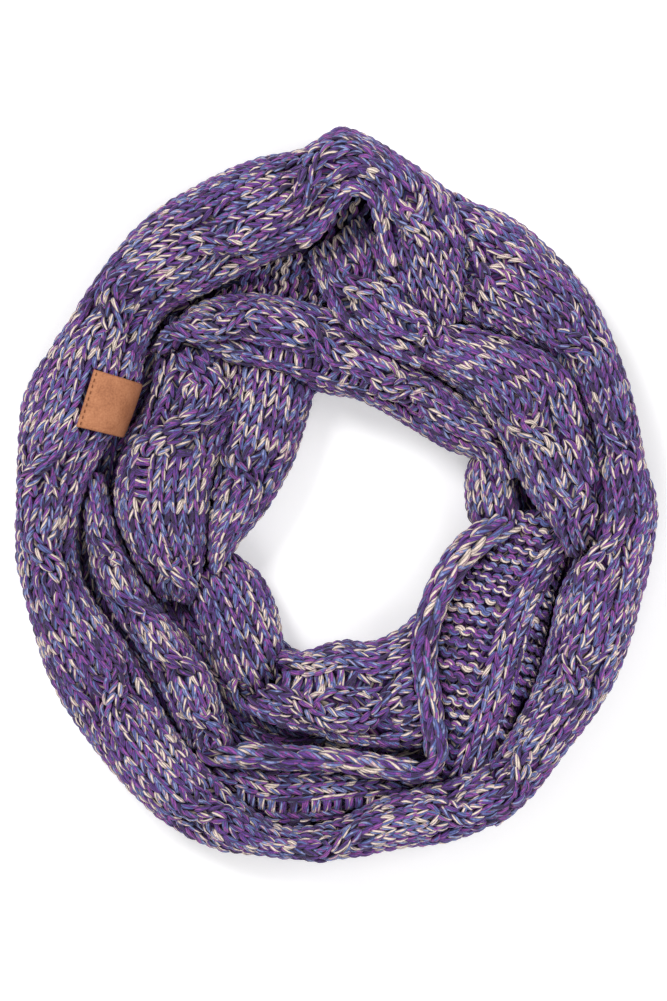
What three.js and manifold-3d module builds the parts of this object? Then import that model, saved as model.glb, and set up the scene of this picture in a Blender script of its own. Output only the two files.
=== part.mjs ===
// A chunky cable-knit infinity scarf, wound twice into a ring and laid flat on a table.
// Millimetres, +Z up, +Y away from the viewer. The origin lies on the table, under the middle of the scarf.
// Each stretch of the loop that shows is a cloth wall. The layers that nobody sees are one rounded solid.
import * as THREE from "three";
import Module from "manifold-3d";

const wasm = await Module();
wasm.setup();

// Driving dimensions
const MIDDLE_SHIFT = [0.3, 0.6]; // from the tables' middle to the middle of the finished outline
const CLOTH = 5.5; // thickness of the knitted cloth
const SEAM_GAP = 0.4; // room left between neighbouring pieces
const STEP_ALONG = 15; // distance between the sections of a wall
const INSIDE_POINTS = 5; // the plain inside of a wall has few points
const CREST_SHAPE = 0.72; // under 1 the back of a band is flatter than an ellipse
const EDGE_DROP = 8; // how far a rolled edge comes down below its widest line
const LIP_TURN = 8; // degrees of roll that make up a millimetre at the lip of a narrow stretch
const SIMPLER = 0.12; // how far a cut surface may move where its small faces are joined
const SAMPLES_PER_ROW = 10; // for measuring how long a stretch is
const LABEL_THICKNESS = 1.4;
const LABEL_LENGTH = 33;

// A cable's upper strand in section: how far it leans over, in half widths, and how steeply it falls off
const STRAND_LEAN = 0.7;
const CROSSING_FALL = 1.4;
const STRAND_FALL = 2.5;

// Plain colours for the model on its own
const HIDDEN_COLOR = 0x3d315e;
const LABEL_COLOR = 0xb9794b;
const KNIT_ROUGHNESS = 0.95;
const LABEL_ROUGHNESS = 0.6;

// One row of a stretch's table, in the order of travel round the ring, which is anticlockwise from above.
// outX outY is the edge away from the hole, inX inY the edge towards it, both at the band's widest line.
// crest, outZ and inZ are the heights of the back and of the two edges.
const COLUMNS = ["outX", "outY", "inX", "inY", "crest", "outZ", "inZ"];

// One row of a cable table: its place (row counts along the stretch, across runs from 0 outside to 1 inside),
// the width and length of the crossing, how high the upper strand stands and the way that it leans.
const CABLE_COLUMNS = ["row", "across", "width", "length", "lift", "lean"];

// One row of a furrow table: where a purl column lies across the stretch, its width and its depth.
const FURROW_COLUMNS = ["across", "width", "depth"];

// Stretches from the top of the heap to the bottom. tuckOut and tuckIn are the degrees that each edge rolls
// under. solid marks a narrow strip where the cloth is doubled, and step is for sections closer than most.
const STRETCHES = {
  // From the fold at the far side, down the left and along the near side
  outer_left: {
    color: 0x5b4a86,
    points: 16,
    tuckOut: 50,
    tuckIn: 30,
    rows: [
      [71, 97, 53, 87, 50, 38, 36],
      [78, 127, 35, 115, 58, 42, 40],
      [73, 152, 25, 137, 64, 34, 42],
      [62, 171, 22, 153, 68, 25, 44],
      [38, 189, 18, 164, 70, 22, 46],
      [5, 206, 9, 166, 70, 21, 44],
      [-20, 194, 1, 158, 68, 21, 42],
      [-47, 188, -14, 140, 64, 22, 38],
      [-76, 175, -45, 126, 58, 22, 32],
      [-105, 157, -72, 112, 56, 22, 30],
      [-130, 129, -93, 102, 54, 22, 28],
      [-154, 92, -105, 83, 54, 22, 28],
      [-175, 58, -111, 57, 54, 20, 28],
      [-179, 25, -128, 27, 54, 20, 26],
      [-180, -6, -141, -2, 52, 20, 26],
      [-180, -37, -145, -33, 50, 20, 24],
      [-172, -71, -136, -58, 50, 20, 24],
      [-160, -107, -114, -88, 50, 20, 24],
      [-135, -145, -93, -127, 50, 20, 26],
      [-105, -178, -73, -152, 50, 20, 26],
      [-73, -198, -52, -172, 48, 20, 26],
      [-40, -204, -29, -186, 46, 20, 24],
      [-3, -206, 0, -182, 46, 20, 24],
      [36, -200, 30, -168, 48, 20, 24],
      [67, -195, 60, -161, 48, 20, 24],
      [101, -181, 84, -152, 48, 20, 26],
    ],
    cables: [
      [2.4, 0.55, 28, 44, 4.5, 1],
      [6.2, 0.4, 30, 50, 5.5, 1],
      [8.3, 0.62, 30, 50, 5.5, -1],
      [10.5, 0.36, 30, 50, 5.5, 1],
      [13.4, 0.26, 28, 46, 4.5, -1],
      [15, 0.6, 26, 46, 4.5, 1],
      [17.4, 0.62, 26, 46, 5, -1],
      [19.6, 0.6, 26, 44, 4.5, 1],
      [22.1, 0.5, 24, 44, 4.5, 1],
      [24, 0.5, 24, 40, 3.5, -1],
    ],
    furrows: [[0.82, 4, 2]],
  },
  // From the near side up the right to the far side, where it goes in under the fold
  outer_right: {
    color: 0x64508f,
    points: 16,
    tuckOut: 50,
    tuckIn: 25,
    rows: [
      [91, -187, 80, -156, 46, 20, 26],
      [109, -172, 88, -147, 50, 20, 26],
      [130, -145, 100, -129, 52, 20, 26],
      [152, -115, 111, -107, 53, 20, 26],
      [165, -86, 118, -84, 54, 20, 26],
      [173, -56, 124, -57, 55, 20, 28],
      [179, -29, 133, -37, 56, 20, 30],
      [181, -6, 142, -15, 56, 20, 32],
      [174, 20, 144, 14, 56, 20, 34],
      [168, 51, 138, 44, 56, 20, 34],
      [158, 82, 129, 65, 57, 20, 34],
      [146, 108, 115, 78, 58, 20, 34],
      [126, 133, 92, 88, 60, 20, 34],
      [100, 155, 68, 98, 60, 22, 36],
      [75, 164, 50, 115, 56, 22, 34],
      [53, 163, 40, 130, 46, 22, 30],
    ],
    cables: [
      [1.2, 0.5, 26, 44, 4, 1],
      [3.4, 0.62, 32, 46, 5.5, 1],
      [6.1, 0.75, 26, 44, 4.5, -1],
      [8.4, 0.4, 22, 44, 4, 1],
      [10.6, 0.55, 30, 46, 5, 1],
      [13, 0.6, 32, 46, 4.5, -1],
    ],
    furrows: [[0.33, 4, 2.4]],
  },
  // The wide band from the right, over the ring's middle, to the hollow below the fold
  diagonal: {
    color: 0x6d5a9a,
    points: 15,
    tuckOut: 30,
    tuckIn: 35,
    rows: [
      [158, -37, 129, -35, 50, 32, 28],
      [159, -15, 119, -17, 56, 36, 28],
      [152, 16, 106, 1, 59, 40, 28],
      [144, 46, 92, 27, 61, 42, 28],
      [133, 72, 79, 47, 62, 42, 30],
      [109, 86, 61, 62, 62, 42, 32],
      [80, 93, 40, 73, 61, 42, 34],
      [56, 107, 19, 83, 60, 40, 34],
      [37, 125, 1, 98, 54, 34, 32],
      [25, 142, -10, 118, 42, 24, 24],
      [14, 158, -18, 137, 28, 14, 14],
    ],
    cables: [
      [1.4, 0.4, 28, 44, 4, -1],
      [3.1, 0.68, 32, 48, 5.5, 1],
      [6.4, 0.36, 30, 46, 5.5, -1],
      [8.3, 0.6, 24, 40, 4, 1],
    ],
    furrows: [[0.5, 4, 1.4]],
  },
  // The cabled rope and ladder along the far side of the hole
  inner_top: {
    color: 0x57467f,
    points: 13,
    tuckOut: 20,
    tuckIn: 40,
    rows: [
      [104, 11, 86, 4, 38, 24, 18],
      [96, 33, 80, 17, 46, 28, 20],
      [75, 52, 59, 26, 52, 30, 20],
      [50, 69, 36, 40, 54, 32, 20],
      [25, 86, 13, 52, 54, 32, 20],
      [0, 102, -10, 57, 54, 32, 20],
      [-26, 110, -27, 65, 53, 30, 24],
      [-54, 113, -51, 71, 52, 28, 28],
      [-78, 108, -70, 76, 50, 28, 28],
      [-94, 94, -82, 80, 44, 24, 24],
      [-104, 81, -91, 73, 34, 20, 20],
    ],
    cables: [
      [3.2, 0.4, 26, 42, 4.5, 1],
      [5.2, 0.35, 26, 42, 4.5, -1],
      [7.1, 0.45, 30, 44, 5, 1],
      [8.9, 0.45, 26, 38, 4, -1],
    ],
    furrows: [[0.8, 5, 2.2]],
  },
  // The rolled edge that runs down inside the left band
  left_roll: {
    color: 0x5f4c8a,
    points: 8,
    tuckOut: 40,
    tuckIn: 40,
    rows: [
      [-144, 15, -130, 11, 34, 20, 18],
      [-142, -15, -123, -17, 42, 20, 18],
      [-138, -42, -114, -39, 45, 20, 18],
      [-128, -64, -98, -63, 45, 20, 17],
      [-112, -87, -83, -82, 44, 20, 16],
      [-99, -110, -69, -102, 43, 20, 16],
      [-89, -132, -60, -127, 41, 18, 15],
      [-81, -147, -57, -145, 34, 14, 12],
    ],
    cables: [
      [1.6, 0.5, 20, 36, 3, 1],
      [3, 0.5, 20, 36, 3, 1],
      [4.5, 0.5, 20, 36, 3, 1],
      [6, 0.5, 20, 34, 3, 1],
    ],
    furrows: [],
  },
  // The narrow chain edge round the near corner of the hole, in two runs that meet at a corner
  edge_chain_bottom: {
    color: 0x73609f,
    points: 7,
    tuckOut: 40,
    tuckIn: 40,
    solid: true,
    rows: [
      [-86, -145, -82, -135, 30, 18, 18],
      [-69, -153, -66, -137, 40, 24, 24],
      [-38, -155, -37, -140, 43, 26, 26],
      [-4, -156, -3, -142, 44, 28, 28],
      [26, -160, 26, -146, 45, 30, 30],
      [42, -162, 41, -148, 45, 29, 29],
    ],
    cables: [],
    furrows: [],
  },
  edge_chain_side: {
    color: 0x7864a3,
    points: 7,
    step: 7,
    tuckOut: 40,
    tuckIn: 40,
    solid: true,
    rows: [
      [38, -163, 38, -149, 43, 28, 28],
      [52, -161, 46, -148, 46, 30, 30],
      [61, -152, 49, -145, 47, 30, 30],
      [63, -141, 49, -139, 47, 30, 29],
      [61, -126, 46, -125, 46, 30, 27],
      [59, -111, 43, -110, 46, 30, 26],
      [57, -88, 40, -87, 46, 30, 24],
      [62, -65, 47, -61, 46, 30, 22],
      [72, -46, 56, -40, 46, 28, 22],
      [86, -32, 70, -22, 45, 28, 22],
      [104, -21, 89, -9, 40, 26, 20],
    ],
    cables: [],
    furrows: [],
  },
  // The left side of the hole: a broad stretch and the stretch beside it that turns down into the hole
  inner_left_wide: {
    color: 0x665390,
    points: 13,
    tuckOut: 35,
    tuckIn: 25,
    rows: [
      [-96, 100, -56, 94, 34, 18, 24],
      [-102, 81, -52, 76, 40, 16, 26],
      [-106, 56, -52, 53, 44, 15, 26],
      [-118, 33, -61, 30, 47, 16, 26],
      [-124, 12, -68, 10, 47, 18, 24],
      [-125, -11, -71, -15, 46, 20, 22],
      [-116, -35, -73, -36, 43, 18, 20],
      [-107, -50, -75, -51, 37, 14, 18],
      [-99, -61, -80, -62, 26, 9, 11],
    ],
    cables: [
      [1.3, 0.55, 36, 42, 5, 1],
      [2.8, 0.45, 38, 46, 5.5, -1],
      [6.6, 0.5, 30, 30, 3, 1],
    ],
    furrows: [[0.27, 4, 2.2]],
  },
  inner_left_side: {
    color: 0x5c4a86,
    points: 9,
    tuckOut: 20,
    tuckIn: 40,
    rows: [
      [-56, 89, -10, 82, 34, 22, 16],
      [-60, 69, -11, 62, 40, 22, 17],
      [-64, 42, -18, 34, 42, 22, 17],
      [-69, 16, -26, 12, 42, 22, 17],
      [-72, -8, -39, -10, 41, 20, 16],
      [-73, -28, -55, -30, 38, 18, 15],
      [-72, -47, -63, -46, 30, 14, 12],
    ],
    cables: [[3.1, 0.4, 28, 38, 4.5, 1]],
    furrows: [],
  },
  // The small stretches that show deeper in the ring
  inner_corner: {
    color: 0x54437c,
    points: 8,
    tuckOut: 30,
    tuckIn: 40,
    rows: [
      [-90, -35, -62, -29, 26, 14, 14],
      [-84, -55, -42, -45, 34, 16, 16],
      [-76, -79, -32, -66, 34, 16, 16],
      [-64, -102, -29, -83, 30, 14, 14],
      [-51, -123, -25, -98, 20, 11, 11],
    ],
    cables: [],
    furrows: [],
  },
  inner_bottom: {
    color: 0x68548f,
    points: 12,
    tuckOut: 20,
    tuckIn: 40,
    rows: [
      [-62, -110, -57, -89, 24, 12, 12],
      [-48, -123, -46, -86, 38, 18, 18],
      [-21, -134, -20, -88, 42, 20, 18],
      [4, -140, 1, -82, 43, 20, 18],
      [24, -143, 21, -82, 43, 20, 18],
      [42, -144, 38, -73, 41, 19, 17],
      [58, -143, 52, -59, 36, 16, 14],
    ],
    cables: [
      [2.3, 0.3, 26, 42, 4, -1],
      [4, 0.35, 32, 46, 5, 1],
    ],
    furrows: [[0.66, 5, 2.2]],
  },
  inner_right_end: {
    color: 0x58477f,
    points: 8,
    tuckOut: 30,
    tuckIn: 40,
    rows: [
      [108, -26, 76, -21, 34, 18, 15],
      [104, -8, 72, -3, 37, 18, 15],
      [100, 11, 73, 15, 37, 18, 15],
      [97, 30, 80, 33, 32, 16, 13],
    ],
    cables: [],
    furrows: [],
  },
  // The stretch on the right that lies with its purl side up
  right_inner: {
    color: 0x6a5691,
    points: 10,
    tuckOut: 30,
    tuckIn: 30,
    rows: [
      [96, -156, 58, -159, 30, 16, 20],
      [105, -128, 56, -137, 33, 16, 20],
      [114, -102, 53, -110, 34, 16, 20],
      [119, -78, 52, -86, 34, 16, 20],
      [124, -56, 58, -63, 35, 16, 20],
      [129, -39, 69, -44, 36, 18, 20],
      [136, -24, 82, -27, 36, 18, 20],
      [141, -8, 96, -8, 34, 18, 18],
    ],
    cables: [],
    furrows: [],
  },
  // The floor of the long gap between the near band and the chain edge
  valley: {
    color: 0x45376a,
    points: 7,
    tuckOut: 20,
    tuckIn: 20,
    rows: [
      [-82, -160, -76, -148, 24, 13, 13],
      [-60, -174, -60, -146, 27, 14, 14],
      [-34, -188, -34, -150, 28, 15, 15],
      [0, -184, 0, -152, 28, 15, 15],
      [34, -175, 34, -156, 27, 15, 15],
      [64, -170, 62, -158, 24, 14, 14],
    ],
    cables: [],
    furrows: [],
  },
  // The shaded stretch below the fold, on the far side
  under_top: {
    color: 0x45376a,
    points: 7,
    tuckOut: 20,
    tuckIn: 20,
    rows: [
      [24, 166, 16, 118, 21, 14, 14],
      [4, 168, -4, 100, 22, 14, 14],
      [-20, 152, -26, 98, 24, 14, 14],
      [-46, 134, -50, 102, 24, 14, 14],
      [-68, 120, -70, 102, 21, 13, 13],
    ],
    cables: [],
    furrows: [],
  },
};

// Radii of the ring of hidden layers, every 15 degrees from +X
const LAYER_COLUMNS = ["outline", "hole"];
const LAYERS = [
  [178, 74], [175, 80], [176, 68], [180, 60], [183, 56], [189, 56], [198, 57], [192, 54],
  [189, 40], [184, 34], [179, 31], [180, 31], [180, 35], [181, 44], [185, 66], [196, 67],
  [205, 74], [208, 88], [205, 84], [204, 83], [204, 84], [193, 80], [187, 75], [181, 78],
];
// The ring's rims in section: how far in from the outline, and how high. Each shows two thicknesses of cloth.
const OUTER_RIM = [[14, 0], [7, 0.6], [5, 2.8], [7, 5.2], [5.5, 6.2], [4.5, 8.6], [8, 11.2]];
const HOLE_RIM = [[8, 6.4], [5, 5.2], [4, 3], [6, 0.6], [12, 0]];
// The two thicknesses at the outline wave in and out against each other
const RIM_SPLIT = 5.5;
const RIM_WAVE = 1.3;
const RIM_WAVES = 5;
// The ring's back between the rims
const BACK_MARGIN = 18;
const BACK_POINTS = 6;
const BACK_REACH = 19;
const BACK_CLEAR = 1;
const BACK_LEAST = 5;
const BACK_MOST = 40;

// The label: which part of the left band it lies on, in rows along and in degrees over the band's back.
// straight is how much of the band's bend its long edges lose. The corners then move: it is sewn on askew.
const LABEL = {
  row: 11.72,
  from: 98,
  to: 204,
  stepsAcross: 10,
  stepsAlong: 5,
  straight: 0.8,
  farCorners: { seam: [0.6, 3.4], fold: [-1.2, -2.8] },
  nearCorners: { seam: [3.4, 5.1], fold: [3.9, -1.1] },
};

const named = (columns, row) => Object.fromEntries(columns.map((name, i) => [name, row[i]]));

// A smooth value between the rows of a table (Catmull-Rom), at a place counted in rows
function between(values, place) {
  const last = values.length - 1;
  const i = Math.min(Math.max(Math.floor(place), 0), last - 1);
  const f = place - i;
  const before = i > 0 ? values[i - 1] : 2 * values[0] - values[1];
  const after = i + 2 <= last ? values[i + 2] : 2 * values[last] - values[last - 1];
  const bend = 2 * before - 5 * values[i] + 4 * values[i + 1] - after;
  const twist = -before + 3 * values[i] - 3 * values[i + 1] + after;
  return values[i] + (f * (values[i + 1] - before + f * (bend + f * twist))) / 2;
}

// A stretch's section at a place counted in rows
function sectionAt(stretch, place) {
  return Object.fromEntries(
    COLUMNS.map((name, i) => [name, between(stretch.rows.map((row) => row[i]), place)]),
  );
}

// Evenly spaced places along a stretch, in rows
function placesAlong(stretch, step) {
  const fine = SAMPLES_PER_ROW * (stretch.rows.length - 1);
  const middle = (place) => {
    const s = sectionAt(stretch, place);
    return new THREE.Vector2((s.outX + s.inX) / 2, (s.outY + s.inY) / 2);
  };
  const lengths = [0];
  for (let i = 1; i <= fine; i++)
    lengths.push(
      lengths[i - 1] + middle(i / SAMPLES_PER_ROW).distanceTo(middle((i - 1) / SAMPLES_PER_ROW)),
    );
  const total = lengths[fine];
  const count = Math.max(4, Math.round(total / step));
  const places = [];
  for (let k = 0, i = 0; k <= count; k++) {
    const wanted = (total * k) / count;
    while (i < fine - 1 && lengths[i + 1] < wanted) i++;
    places.push((i + (wanted - lengths[i]) / (lengths[i + 1] - lengths[i])) / SAMPLES_PER_ROW);
  }
  return { places, total };
}

// How far cables stand up from the cloth, and purl furrows go down, at a place on a stretch
function reliefAt(stretch, place, across, width, rowLength) {
  let height = 0;
  for (const row of stretch.cables) {
    const c = named(CABLE_COLUMNS, row);
    const along = ((place - c.row) * rowLength) / (c.length / 2);
    const side = ((across - c.across) * width) / (c.width / 2);
    const strand = side - c.lean * Math.max(-1, Math.min(1, along)) * STRAND_LEAN;
    height += c.lift * Math.exp(-CROSSING_FALL * along ** 2 - STRAND_FALL * strand ** 2);
  }
  for (const row of stretch.furrows) {
    const f = named(FURROW_COLUMNS, row);
    const side = ((across - f.across) * width) / f.width;
    height -= f.depth * Math.exp(-side * side);
  }
  return height;
}

// A point of a section. angle runs over the band in degrees, from 0 at the outer edge to 180 at the inner
// one, and past them where the edges roll under. inset goes into the cloth. x is across the band and y is up.
function profilePoint(section, angle, inset, relief, tuck) {
  const turn = THREE.MathUtils.degToRad(angle);
  const half = Math.hypot(section.inX - section.outX, section.inY - section.outY) / 2;
  const share = (1 - Math.cos(turn)) / 2;
  const edge = section.outZ + (section.inZ - section.outZ) * share;
  const rise = Math.sin(turn);
  const x = -Math.cos(turn) * (half - inset + relief);
  if (rise >= 0) {
    const crest = section.crest - inset - edge;
    return [x, edge + crest * Math.pow(rise, CREST_SHAPE) + relief * rise];
  }
  const under = -rise / Math.sin(THREE.MathUtils.degToRad(tuck));
  return [x, edge - (EDGE_DROP - inset) * under];
}

// From a section's own plane to the table's frame
function placed(section, [x, z]) {
  const half = new THREE.Vector2(section.inX - section.outX, section.inY - section.outY);
  const inward = half.clone().normalize();
  const middle = new THREE.Vector2(section.outX, section.outY).addScaledVector(half, 0.5);
  middle.addScaledVector(inward, x);
  return [middle.x, middle.y, z];
}

// A ring of points seen in its own upright plane: x is across the cloth and y is up
function upright(ring) {
  const [startX, startY] = ring[0];
  const away = ring.map(([x, y]) => Math.hypot(x - startX, y - startY));
  const [farX, farY] = ring[away.indexOf(Math.max(...away))];
  const across = new THREE.Vector2(farX - startX, farY - startY).normalize();
  return ring.map(([x, y, z]) => new THREE.Vector2((x - startX) * across.x + (y - startY) * across.y, z));
}

// A closed solid through rings of points
function loft(rings, closed = false) {
  const size = rings[0].length;
  const faces = [];
  const spans = closed ? rings.length : rings.length - 1;
  for (let r = 0; r < spans; r++)
    for (let p = 0; p < size; p++) {
      const a = r * size + p;
      const b = r * size + ((p + 1) % size);
      const c = ((r + 1) % rings.length) * size + ((p + 1) % size);
      const d = ((r + 1) % rings.length) * size + p;
      faces.push(a, b, c, a, c, d);
    }
  if (!closed)
    for (const end of [0, rings.length - 1]) {
      const outline = upright(rings[end]);
      const flip = end === 0 !== THREE.ShapeUtils.isClockWise(outline);
      for (const face of THREE.ShapeUtils.triangulateShape(outline, [])) {
        const corners = face.map((i) => end * size + i);
        faces.push(...(flip ? corners.reverse() : corners));
      }
    }
  return solidFrom(new Float32Array(rings.flat(2)), new Uint32Array(faces));
}

// A solid from points and faces, turned so that its faces point out
function solidFrom(vertProperties, triVerts) {
  const solid = new wasm.Manifold(new wasm.Mesh({ numProp: 3, vertProperties, triVerts }));
  if (solid.volume() >= 0) return solid;
  const turned = triVerts.map((_, i) => triVerts[i - (i % 3) + 2 - (i % 3)]);
  return new wasm.Manifold(new wasm.Mesh({ numProp: 3, vertProperties, triVerts: turned }));
}

const spread = (from, to, count) =>
  Array.from({ length: count }, (_, i) => from + ((to - from) * i) / (count - 1));

// A stretch's cloth wall, or a solid strip where the cloth is doubled. grow makes it larger all round.
function wallSolid(stretch, grow = 0) {
  const { places, total } = placesAlong(stretch, stretch.step ?? STEP_ALONG);
  const rowLength = total / (stretch.rows.length - 1);
  const outside = spread(-stretch.tuckOut, 180 + stretch.tuckIn, stretch.points);
  const inside = spread(180 + stretch.tuckIn, -stretch.tuckOut, INSIDE_POINTS);
  for (const angles of [outside, inside.reverse()]) {
    angles[0] -= grow * LIP_TURN;
    angles[angles.length - 1] += grow * LIP_TURN;
  }
  inside.reverse();
  const last = places.length - 1;
  const rings = places.map((place, i) => {
    const past = (grow / rowLength) * (i === 0 ? -1 : i === last ? 1 : 0);
    const section = sectionAt(stretch, place + past);
    const width = Math.hypot(section.inX - section.outX, section.inY - section.outY);
    const point = (angle, inset, reliefShare) => {
      const across = (1 - Math.cos(THREE.MathUtils.degToRad(angle))) / 2;
      const over = angle > 0 && angle < 180 ? reliefShare : 0;
      const relief = over * reliefAt(stretch, place, across, width, rowLength);
      const tuck = angle < 90 ? stretch.tuckOut : stretch.tuckIn;
      const [x, z] = profilePoint(section, angle, inset, relief, tuck);
      const pastLip = angle < -stretch.tuckOut || angle > 180 + stretch.tuckIn;
      return placed(section, [x, pastLip ? z - grow : z]);
    };
    const outer = outside.map((angle) => point(angle, -grow, 1));
    return stretch.solid ? outer : [...outer, ...inside.map((angle) => point(angle, CLOTH + grow, 0))];
  });
  return loft(rings);
}

// The hidden layers: a ring, flat where it rests on the table, whose back swells up under the walls
function layerRing(walls) {
  const turn = (2 * Math.PI) / LAYERS.length;
  const points = walls.flatMap((wall) => {
    const { vertProperties: v } = wall.getMesh();
    return spread(0, v.length / 3 - 1, v.length / 3).map((i) => [v[3 * i], v[3 * i + 1], v[3 * i + 2]]);
  });
  // The highest that the back may be near a place, so that it stays under every wall there
  const backHeight = (x, y) => {
    const near = points.filter((p) => Math.hypot(p[0] - x, p[1] - y) < BACK_REACH);
    const lowest = Math.min(BACK_MOST, ...near.map((p) => p[2] - BACK_CLEAR));
    return Math.max(BACK_LEAST, lowest);
  };
  const count = 2 * LAYERS.length;
  const joined = [...LAYERS.slice(-1), ...LAYERS, ...LAYERS.slice(0, 2)];
  const radius = (name, i) => between(joined.map((row) => named(LAYER_COLUMNS, row)[name]), 1 + i / 2);
  const rings = Array.from({ length: count }, (_, i) => {
    const [outer, hole] = [radius("outline", i), radius("hole", i)];
    const [x, y] = [Math.cos((i * turn) / 2), Math.sin((i * turn) / 2)];
    const section = { outX: outer * x, outY: outer * y, inX: hole * x, inY: hole * y };
    const half = (outer - hole) / 2;
    const wave = RIM_WAVE * Math.sin(RIM_WAVES * ((i * turn) / 2));
    const outerRim = OUTER_RIM.map(([inward, up]) => [inward + (up > RIM_SPLIT ? wave : -wave) - half, up]);
    const holeRim = HOLE_RIM.map(([inward, up]) => [half - inward, up]);
    const back = spread(-half + BACK_MARGIN, half - BACK_MARGIN, BACK_POINTS).map((across) => {
      const reach = (outer + hole) / 2 - across;
      return [across, backHeight(reach * x, reach * y)];
    });
    return [...outerRim, ...back, ...holeRim].map((point) => placed(section, point));
  });
  return loft(rings, true);
}

// The label: a strip of imitation leather folded over the inner edge of the left band
function labelSolid(grow = 0) {
  const band = STRETCHES.outer_left;
  const { total } = placesAlong(band, STEP_ALONG);
  const rows = LABEL_LENGTH / (total / (band.rows.length - 1));
  const { lerp, degToRad } = THREE.MathUtils;
  const acrossBand = (angle) => (1 - Math.cos(degToRad(angle))) / 2;
  const seam = acrossBand(LABEL.from);
  const onBand = (along, angle, height) => {
    const section = sectionAt(band, LABEL.row + along * rows);
    return new THREE.Vector3(...placed(section, profilePoint(section, angle, -height, 0, band.tuckIn)));
  };
  const point = (along, angle, height) => {
    const straight = onBand(0, angle, height).lerp(onBand(1, angle, height), along);
    const place = onBand(along, angle, height).lerp(straight, LABEL.straight);
    const across = (acrossBand(angle) - seam) / (1 - seam);
    const moved = (corners, axis) => lerp(corners.seam[axis], corners.fold[axis], across);
    const [x, y] = [0, 1].map((axis) =>
      lerp(moved(LABEL.farCorners, axis), moved(LABEL.nearCorners, axis), along),
    );
    return [place.x + x, place.y + y, place.z];
  };
  const angles = spread(LABEL.from, LABEL.to, LABEL.stepsAcross);
  const past = grow / LABEL_LENGTH;
  const rings = spread(-past, 1 + past, LABEL.stepsAlong).map((along) => {
    const under = angles.map((angle) => point(along, angle, SEAM_GAP - grow));
    const over = angles.toReversed().map((angle) => point(along, angle, SEAM_GAP + LABEL_THICKNESS + grow));
    return [...under, ...over];
  });
  return loft(rings);
}

// The largest body of a solid that its neighbours have cut
function mainBody(solid) {
  const bodies = solid.simplify(SIMPLER).decompose();
  return bodies.sort((a, b) => b.volume() - a.volume())[0];
}

function meshFrom(name, solid, color, roughness) {
  const { vertProperties, triVerts } = solid.getMesh();
  const geometry = new THREE.BufferGeometry();
  geometry.setAttribute("position", new THREE.BufferAttribute(vertProperties, 3));
  geometry.setIndex(new THREE.BufferAttribute(triVerts, 1));
  geometry.computeVertexNormals();
  const mesh = new THREE.Mesh(geometry, new THREE.MeshStandardMaterial({ color, roughness, metalness: 0 }));
  mesh.name = name;
  return mesh;
}

const scarf = new THREE.Group();
scarf.name = "infinity_scarf";
scarf.position.set(...MIDDLE_SHIFT, 0);

scarf.add(meshFrom("label", labelSolid(), LABEL_COLOR, LABEL_ROUGHNESS));

// Each stretch makes way for the ones above it
let above = labelSolid(SEAM_GAP);
for (const [name, stretch] of Object.entries(STRETCHES)) {
  const wall = mainBody(wallSolid(stretch).subtract(above));
  scarf.add(meshFrom(name, wall, stretch.color, KNIT_ROUGHNESS));
  above = above.add(wallSolid(stretch, SEAM_GAP));
}

const hidden = layerRing(Object.values(STRETCHES).map((stretch) => wallSolid(stretch, SEAM_GAP)));
scarf.add(meshFrom("hidden_layers", mainBody(hidden.subtract(above)), HIDDEN_COLOR, KNIT_ROUGHNESS));

export default scarf;
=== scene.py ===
"""The looks of a chunky cable-knit infinity scarf, wound twice into a ring and laid flat on a table.

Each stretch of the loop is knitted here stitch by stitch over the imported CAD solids. The tables are in
millimetres and match the part's source. What goes into Blender is in metres.
"""

import math

import bpy
import numpy as np
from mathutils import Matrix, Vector
from mathutils.bvhtree import BVHTree


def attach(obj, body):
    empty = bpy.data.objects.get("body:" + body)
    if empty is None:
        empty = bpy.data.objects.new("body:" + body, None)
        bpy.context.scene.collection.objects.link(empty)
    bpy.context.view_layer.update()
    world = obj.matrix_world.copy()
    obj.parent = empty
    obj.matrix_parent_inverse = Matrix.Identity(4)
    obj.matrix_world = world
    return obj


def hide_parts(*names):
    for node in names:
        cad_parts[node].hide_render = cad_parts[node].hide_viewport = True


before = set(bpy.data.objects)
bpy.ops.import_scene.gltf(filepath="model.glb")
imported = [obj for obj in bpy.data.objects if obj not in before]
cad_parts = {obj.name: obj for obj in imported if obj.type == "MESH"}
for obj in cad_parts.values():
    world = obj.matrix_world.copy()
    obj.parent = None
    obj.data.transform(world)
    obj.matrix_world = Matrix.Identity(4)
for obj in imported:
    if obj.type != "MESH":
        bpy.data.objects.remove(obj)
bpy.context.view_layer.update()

MM = 0.001
SEED = 20
SHIFT = np.array([0.3, 0.6, 0.0])  # from the tables' middle to the middle of the finished outline

# The cloth's section, as in the part's source. COLUMNS are those of a stretch's rows: its outer and its
# inner edge, the height of its crest and the heights of its edges.
CREST_SHAPE = 0.72
EDGE_DROP = 8.0
COLUMNS = ("out_x", "out_y", "in_x", "in_y", "crest", "out_z", "in_z")

# The knitting
WALE = 7.4  # width of a column of stitches
COURSE = 6.2  # height of a row of stitches
YARN = 1.7  # radius of the yarn
YARN_DEPTH = 1.5  # from the cloth's outline down to the middle of the yarn
GROUND_DEPTH = 3.4  # the cloth behind the yarn: its face
CLOTH = 5.5  # and its back
SIDE_MARGIN = 0.2  # of a column, left free along the cloth's sides
LOWEST_FACING = -0.75  # stitches that look further down than this are left out
TIGHT = 0.6  # below this pace, as on the inside of a bend, every second row is left out
LOOSE = 1.55  # and above this one a row goes in between
WAVE = 1.1  # how far the rows wave, and how fast, across and along
WAVE_ACROSS = 0.07
WAVE_ALONG = 0.06
WAVE_START = 1.3

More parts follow.
